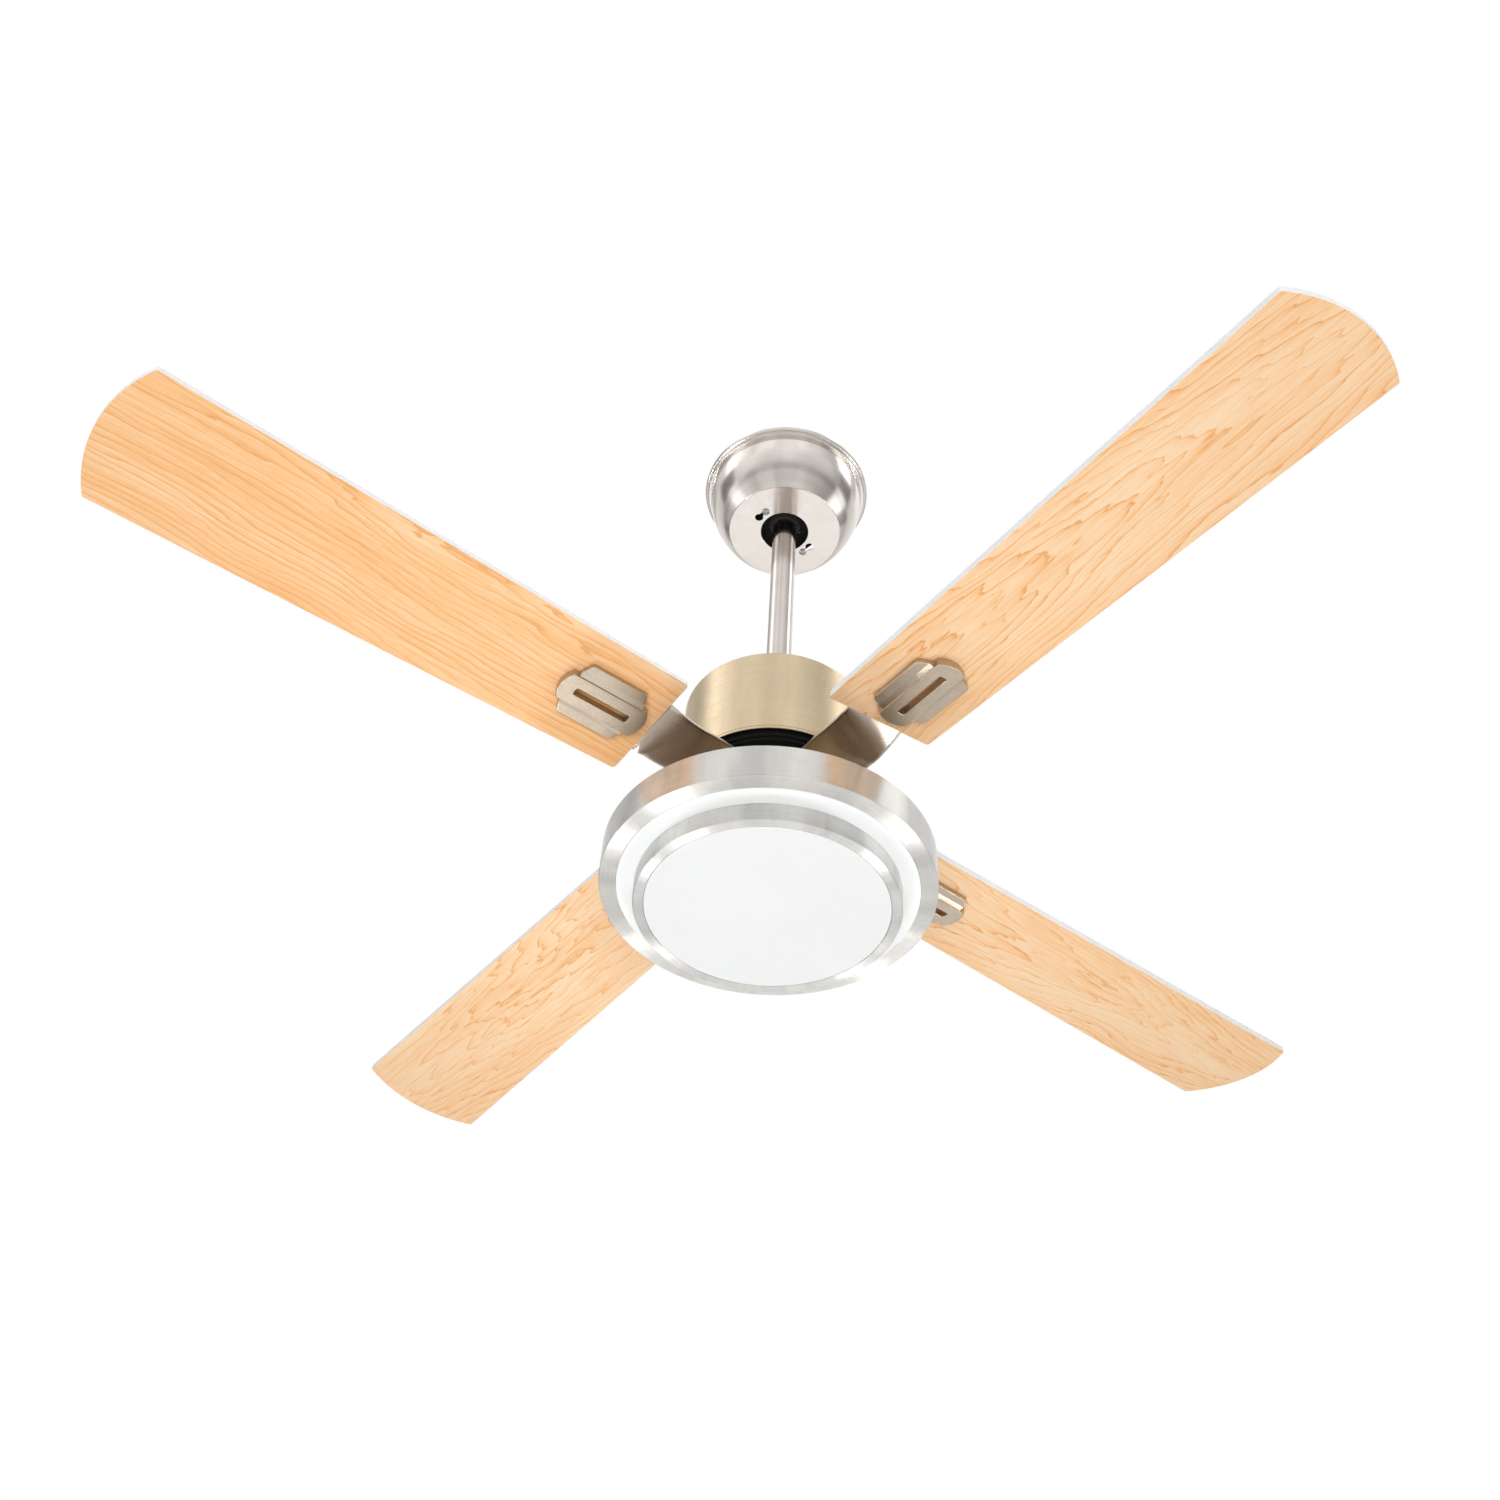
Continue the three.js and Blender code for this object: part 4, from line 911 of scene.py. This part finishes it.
def softbox(name, place, target, size, power, spread=60, mirrored=True):
    """A rectangular lamp that the camera doesn't see; a mirrored one shows in the metals."""
    data = bpy.data.lights.new(name, "AREA")
    data.shape = "RECTANGLE"
    data.size, data.size_y = size
    data.energy = power
    data.spread = math.radians(spread)
    obj = bpy.data.objects.new(name, data)
    bpy.context.scene.collection.objects.link(obj)
    obj.location = place
    obj.rotation_euler = (Vector(target) - Vector(place)).to_track_quat("-Z", "Y").to_euler()
    obj.visible_camera = False
    obj.visible_glossy = mirrored


# The room that the metals mirror. Round it: (azimuth in degrees, level). Up it: (height from -1 to 1, level).
ROOM_ROUND = [(-180, 0.9), (-168, 2.2), (-160, 2.1), (-150, 1.2), (-128, 0.85), (-122, 1.05), (-104, 1.1),
              (-98, 0.9), (-70, 1.0), (-64, 1.1), (-45, 0.85), (-14, 0.55), (-9, 0.55), (-4, 1.8), (5, 2.4),
              (16, 2.3), (21, 0.75), (33, 0.5), (40, 1.1), (70, 0.9), (88, 1.25), (99, 1.35), (110, 1.25),
              (128, 0.8), (137, 0.5), (152, 0.45), (160, 0.7), (172, 0.75), (180, 0.9)]
ROOM_UP = [(-1, 0.95), (-0.9, 0.85), (-0.8, 0.95), (-0.7, 0.5), (-0.6, 0.84), (-0.4, 0.72), (-0.1, 0.75),
           (0.05, 0.5), (0.3, 0.85), (0.7, 1.1), (0.9, 1.0), (1, 0.8)]
# Its middle band, which the canopy's bowl mirrors, and the band's share at each height.
ROOM_MIDDLE = [(-180, 0.25), (-163, 0.3), (-153, 1.0), (-135, 1.15), (-105, 0.95), (-80, 1.1), (-50, 0.9),
               (-25, 0.85), (-8, 0.55), (-1, 0.3), (17, 0.25), (27, 0.9), (60, 1.0), (99, 0.6), (135, 1.0),
               (168, 0.9), (176, 0.3), (180, 0.25)]
MIDDLE_UP = [(0.12, 0), (0.25, 1), (0.54, 1), (0.58, 0)]
DIFFUSE_LEVEL = 0.6               # the plain white room's light on the object; the camera sees it at 1


def world_ramp(tree, value, half_range, unit, stops):
    """Brightness levels along a direction's azimuth or height."""
    spread = tree.nodes.new("ShaderNodeMapRange")
    spread.inputs["From Min"].default_value = -half_range
    spread.inputs["From Max"].default_value = half_range
    tree.links.new(value, spread.inputs[0])
    ramp = tree.nodes.new("ShaderNodeValToRGB")
    ramp.color_ramp.interpolation = "EASE"
    tree.links.new(spread.outputs[0], ramp.inputs[0])
    stones = ramp.color_ramp.elements
    while len(stones) < len(stops):
        stones.new(0.5)
    for stone, (where, level) in zip(stones, stops):
        stone.position = (where / unit + 1) / 2
        stone.color = (level, level, level, 1)
    return ramp.outputs[0]


def studio():
    """A plain white room to look at and for soft light, and one of soft bands for the metals to mirror."""
    world = bpy.data.worlds.new("studio")
    bpy.context.scene.world = world
    world.use_nodes = True
    tree = world.node_tree
    nodes, links = tree.nodes, tree.links
    plain = nodes["Background"]
    plain.inputs[0].default_value = (1, 1, 1, 1)
    path = nodes.new("ShaderNodeLightPath")
    level = nodes.new("ShaderNodeMapRange")
    level.inputs["To Min"].default_value = DIFFUSE_LEVEL
    level.inputs["To Max"].default_value = 1.0
    links.new(path.outputs["Is Camera Ray"], level.inputs[0])
    links.new(level.outputs[0], plain.inputs[1])
    coords = nodes.new("ShaderNodeTexCoord")
    split = nodes.new("ShaderNodeSeparateXYZ")
    links.new(coords.outputs["Generated"], split.inputs[0])
    azimuth = nodes.new("ShaderNodeMath")
    azimuth.operation = "ARCTAN2"
    links.new(split.outputs[1], azimuth.inputs[0])
    links.new(split.outputs[0], azimuth.inputs[1])
    round_levels = world_ramp(tree, azimuth.outputs[0], math.pi, 180, ROOM_ROUND)
    middle_levels = world_ramp(tree, azimuth.outputs[0], math.pi, 180, ROOM_MIDDLE)
    middle_share = world_ramp(tree, split.outputs[2], 1, 1, MIDDLE_UP)
    levels = nodes.new("ShaderNodeMix")
    levels.data_type = "RGBA"
    links.new(middle_share, levels.inputs[0])
    links.new(round_levels, levels.inputs[6])
    links.new(middle_levels, levels.inputs[7])
    up_levels = world_ramp(tree, split.outputs[2], 1, 1, ROOM_UP)
    room = nodes.new("ShaderNodeBackground")
    links.new(levels.outputs[2], room.inputs[0])
    links.new(up_levels, room.inputs[1])
    choose = nodes.new("ShaderNodeMixShader")
    links.new(path.outputs["Is Glossy Ray"], choose.inputs[0])
    links.new(plain.outputs[0], choose.inputs[1])
    links.new(room.outputs[0], choose.inputs[2])
    links.new(choose.outputs[0], nodes["World Output"].inputs[0])


def photo_camera():
    """The camera stands below and in front of the fan and looks up at it."""
    target = Vector((0, 0, -0.587))           # the light's upper ring
    distance = 1.4776
    elevation = 0.697276                      # radians that it stands below the target
    stands_round = 8.723                      # degrees that it stands to the right of the front
    yaw = -0.0207073                          # radians, like its pitch and roll
    pitch = 0.7821915
    roll = 0.0603592
    back = Vector((0, -math.cos(elevation), -math.sin(elevation))) * distance
    ahead = Vector((math.sin(yaw) * math.cos(pitch), math.cos(yaw) * math.cos(pitch), math.sin(pitch)))
    right = Vector((math.cos(yaw), -math.sin(yaw), 0))
    up = right.cross(ahead)
    side = right * math.cos(roll) + up * math.sin(roll)
    top = up * math.cos(roll) - right * math.sin(roll)
    facing = Matrix((side, top, -ahead)).transposed().to_4x4()
    data = bpy.data.cameras.new("camera")
    data.lens = 40.05
    data.sensor_width = 36
    cam = bpy.data.objects.new("camera", data)
    bpy.context.scene.collection.objects.link(cam)
    turn = Matrix.Rotation(math.radians(stands_round), 4, "Z")
    cam.matrix_world = Matrix.Translation(target) @ turn @ Matrix.Translation(back) @ facing
    bpy.context.scene.camera = cam


floor()
studio()
softbox("spot_below", (-0.74, 0.70, -2.3), (-0.05, -0.05, -0.5), (0.3, 0.2), 0.5)
softbox("spot_left", (-1.2, 1.25, -2.3), (-0.05, -0.05, -0.5), (0.3, 0.2), 0.45)
softbox("side_below", (0.95, 1.05, -2.3), (0.05, -0.05, -0.5), (0.3, 0.3), 0.8)
softbox("front_fill", (0.3, -2.6, -2.2), (0, 0, -0.5), (2.4, 1.2), 10, mirrored=False)
softbox("top_fill", (0.4, -0.4, 2.2), (0, 0, -0.4), (2.4, 2.4), 12, 90, mirrored=False)
photo_camera()
bpy.context.scene.view_settings.view_transform = "Standard"
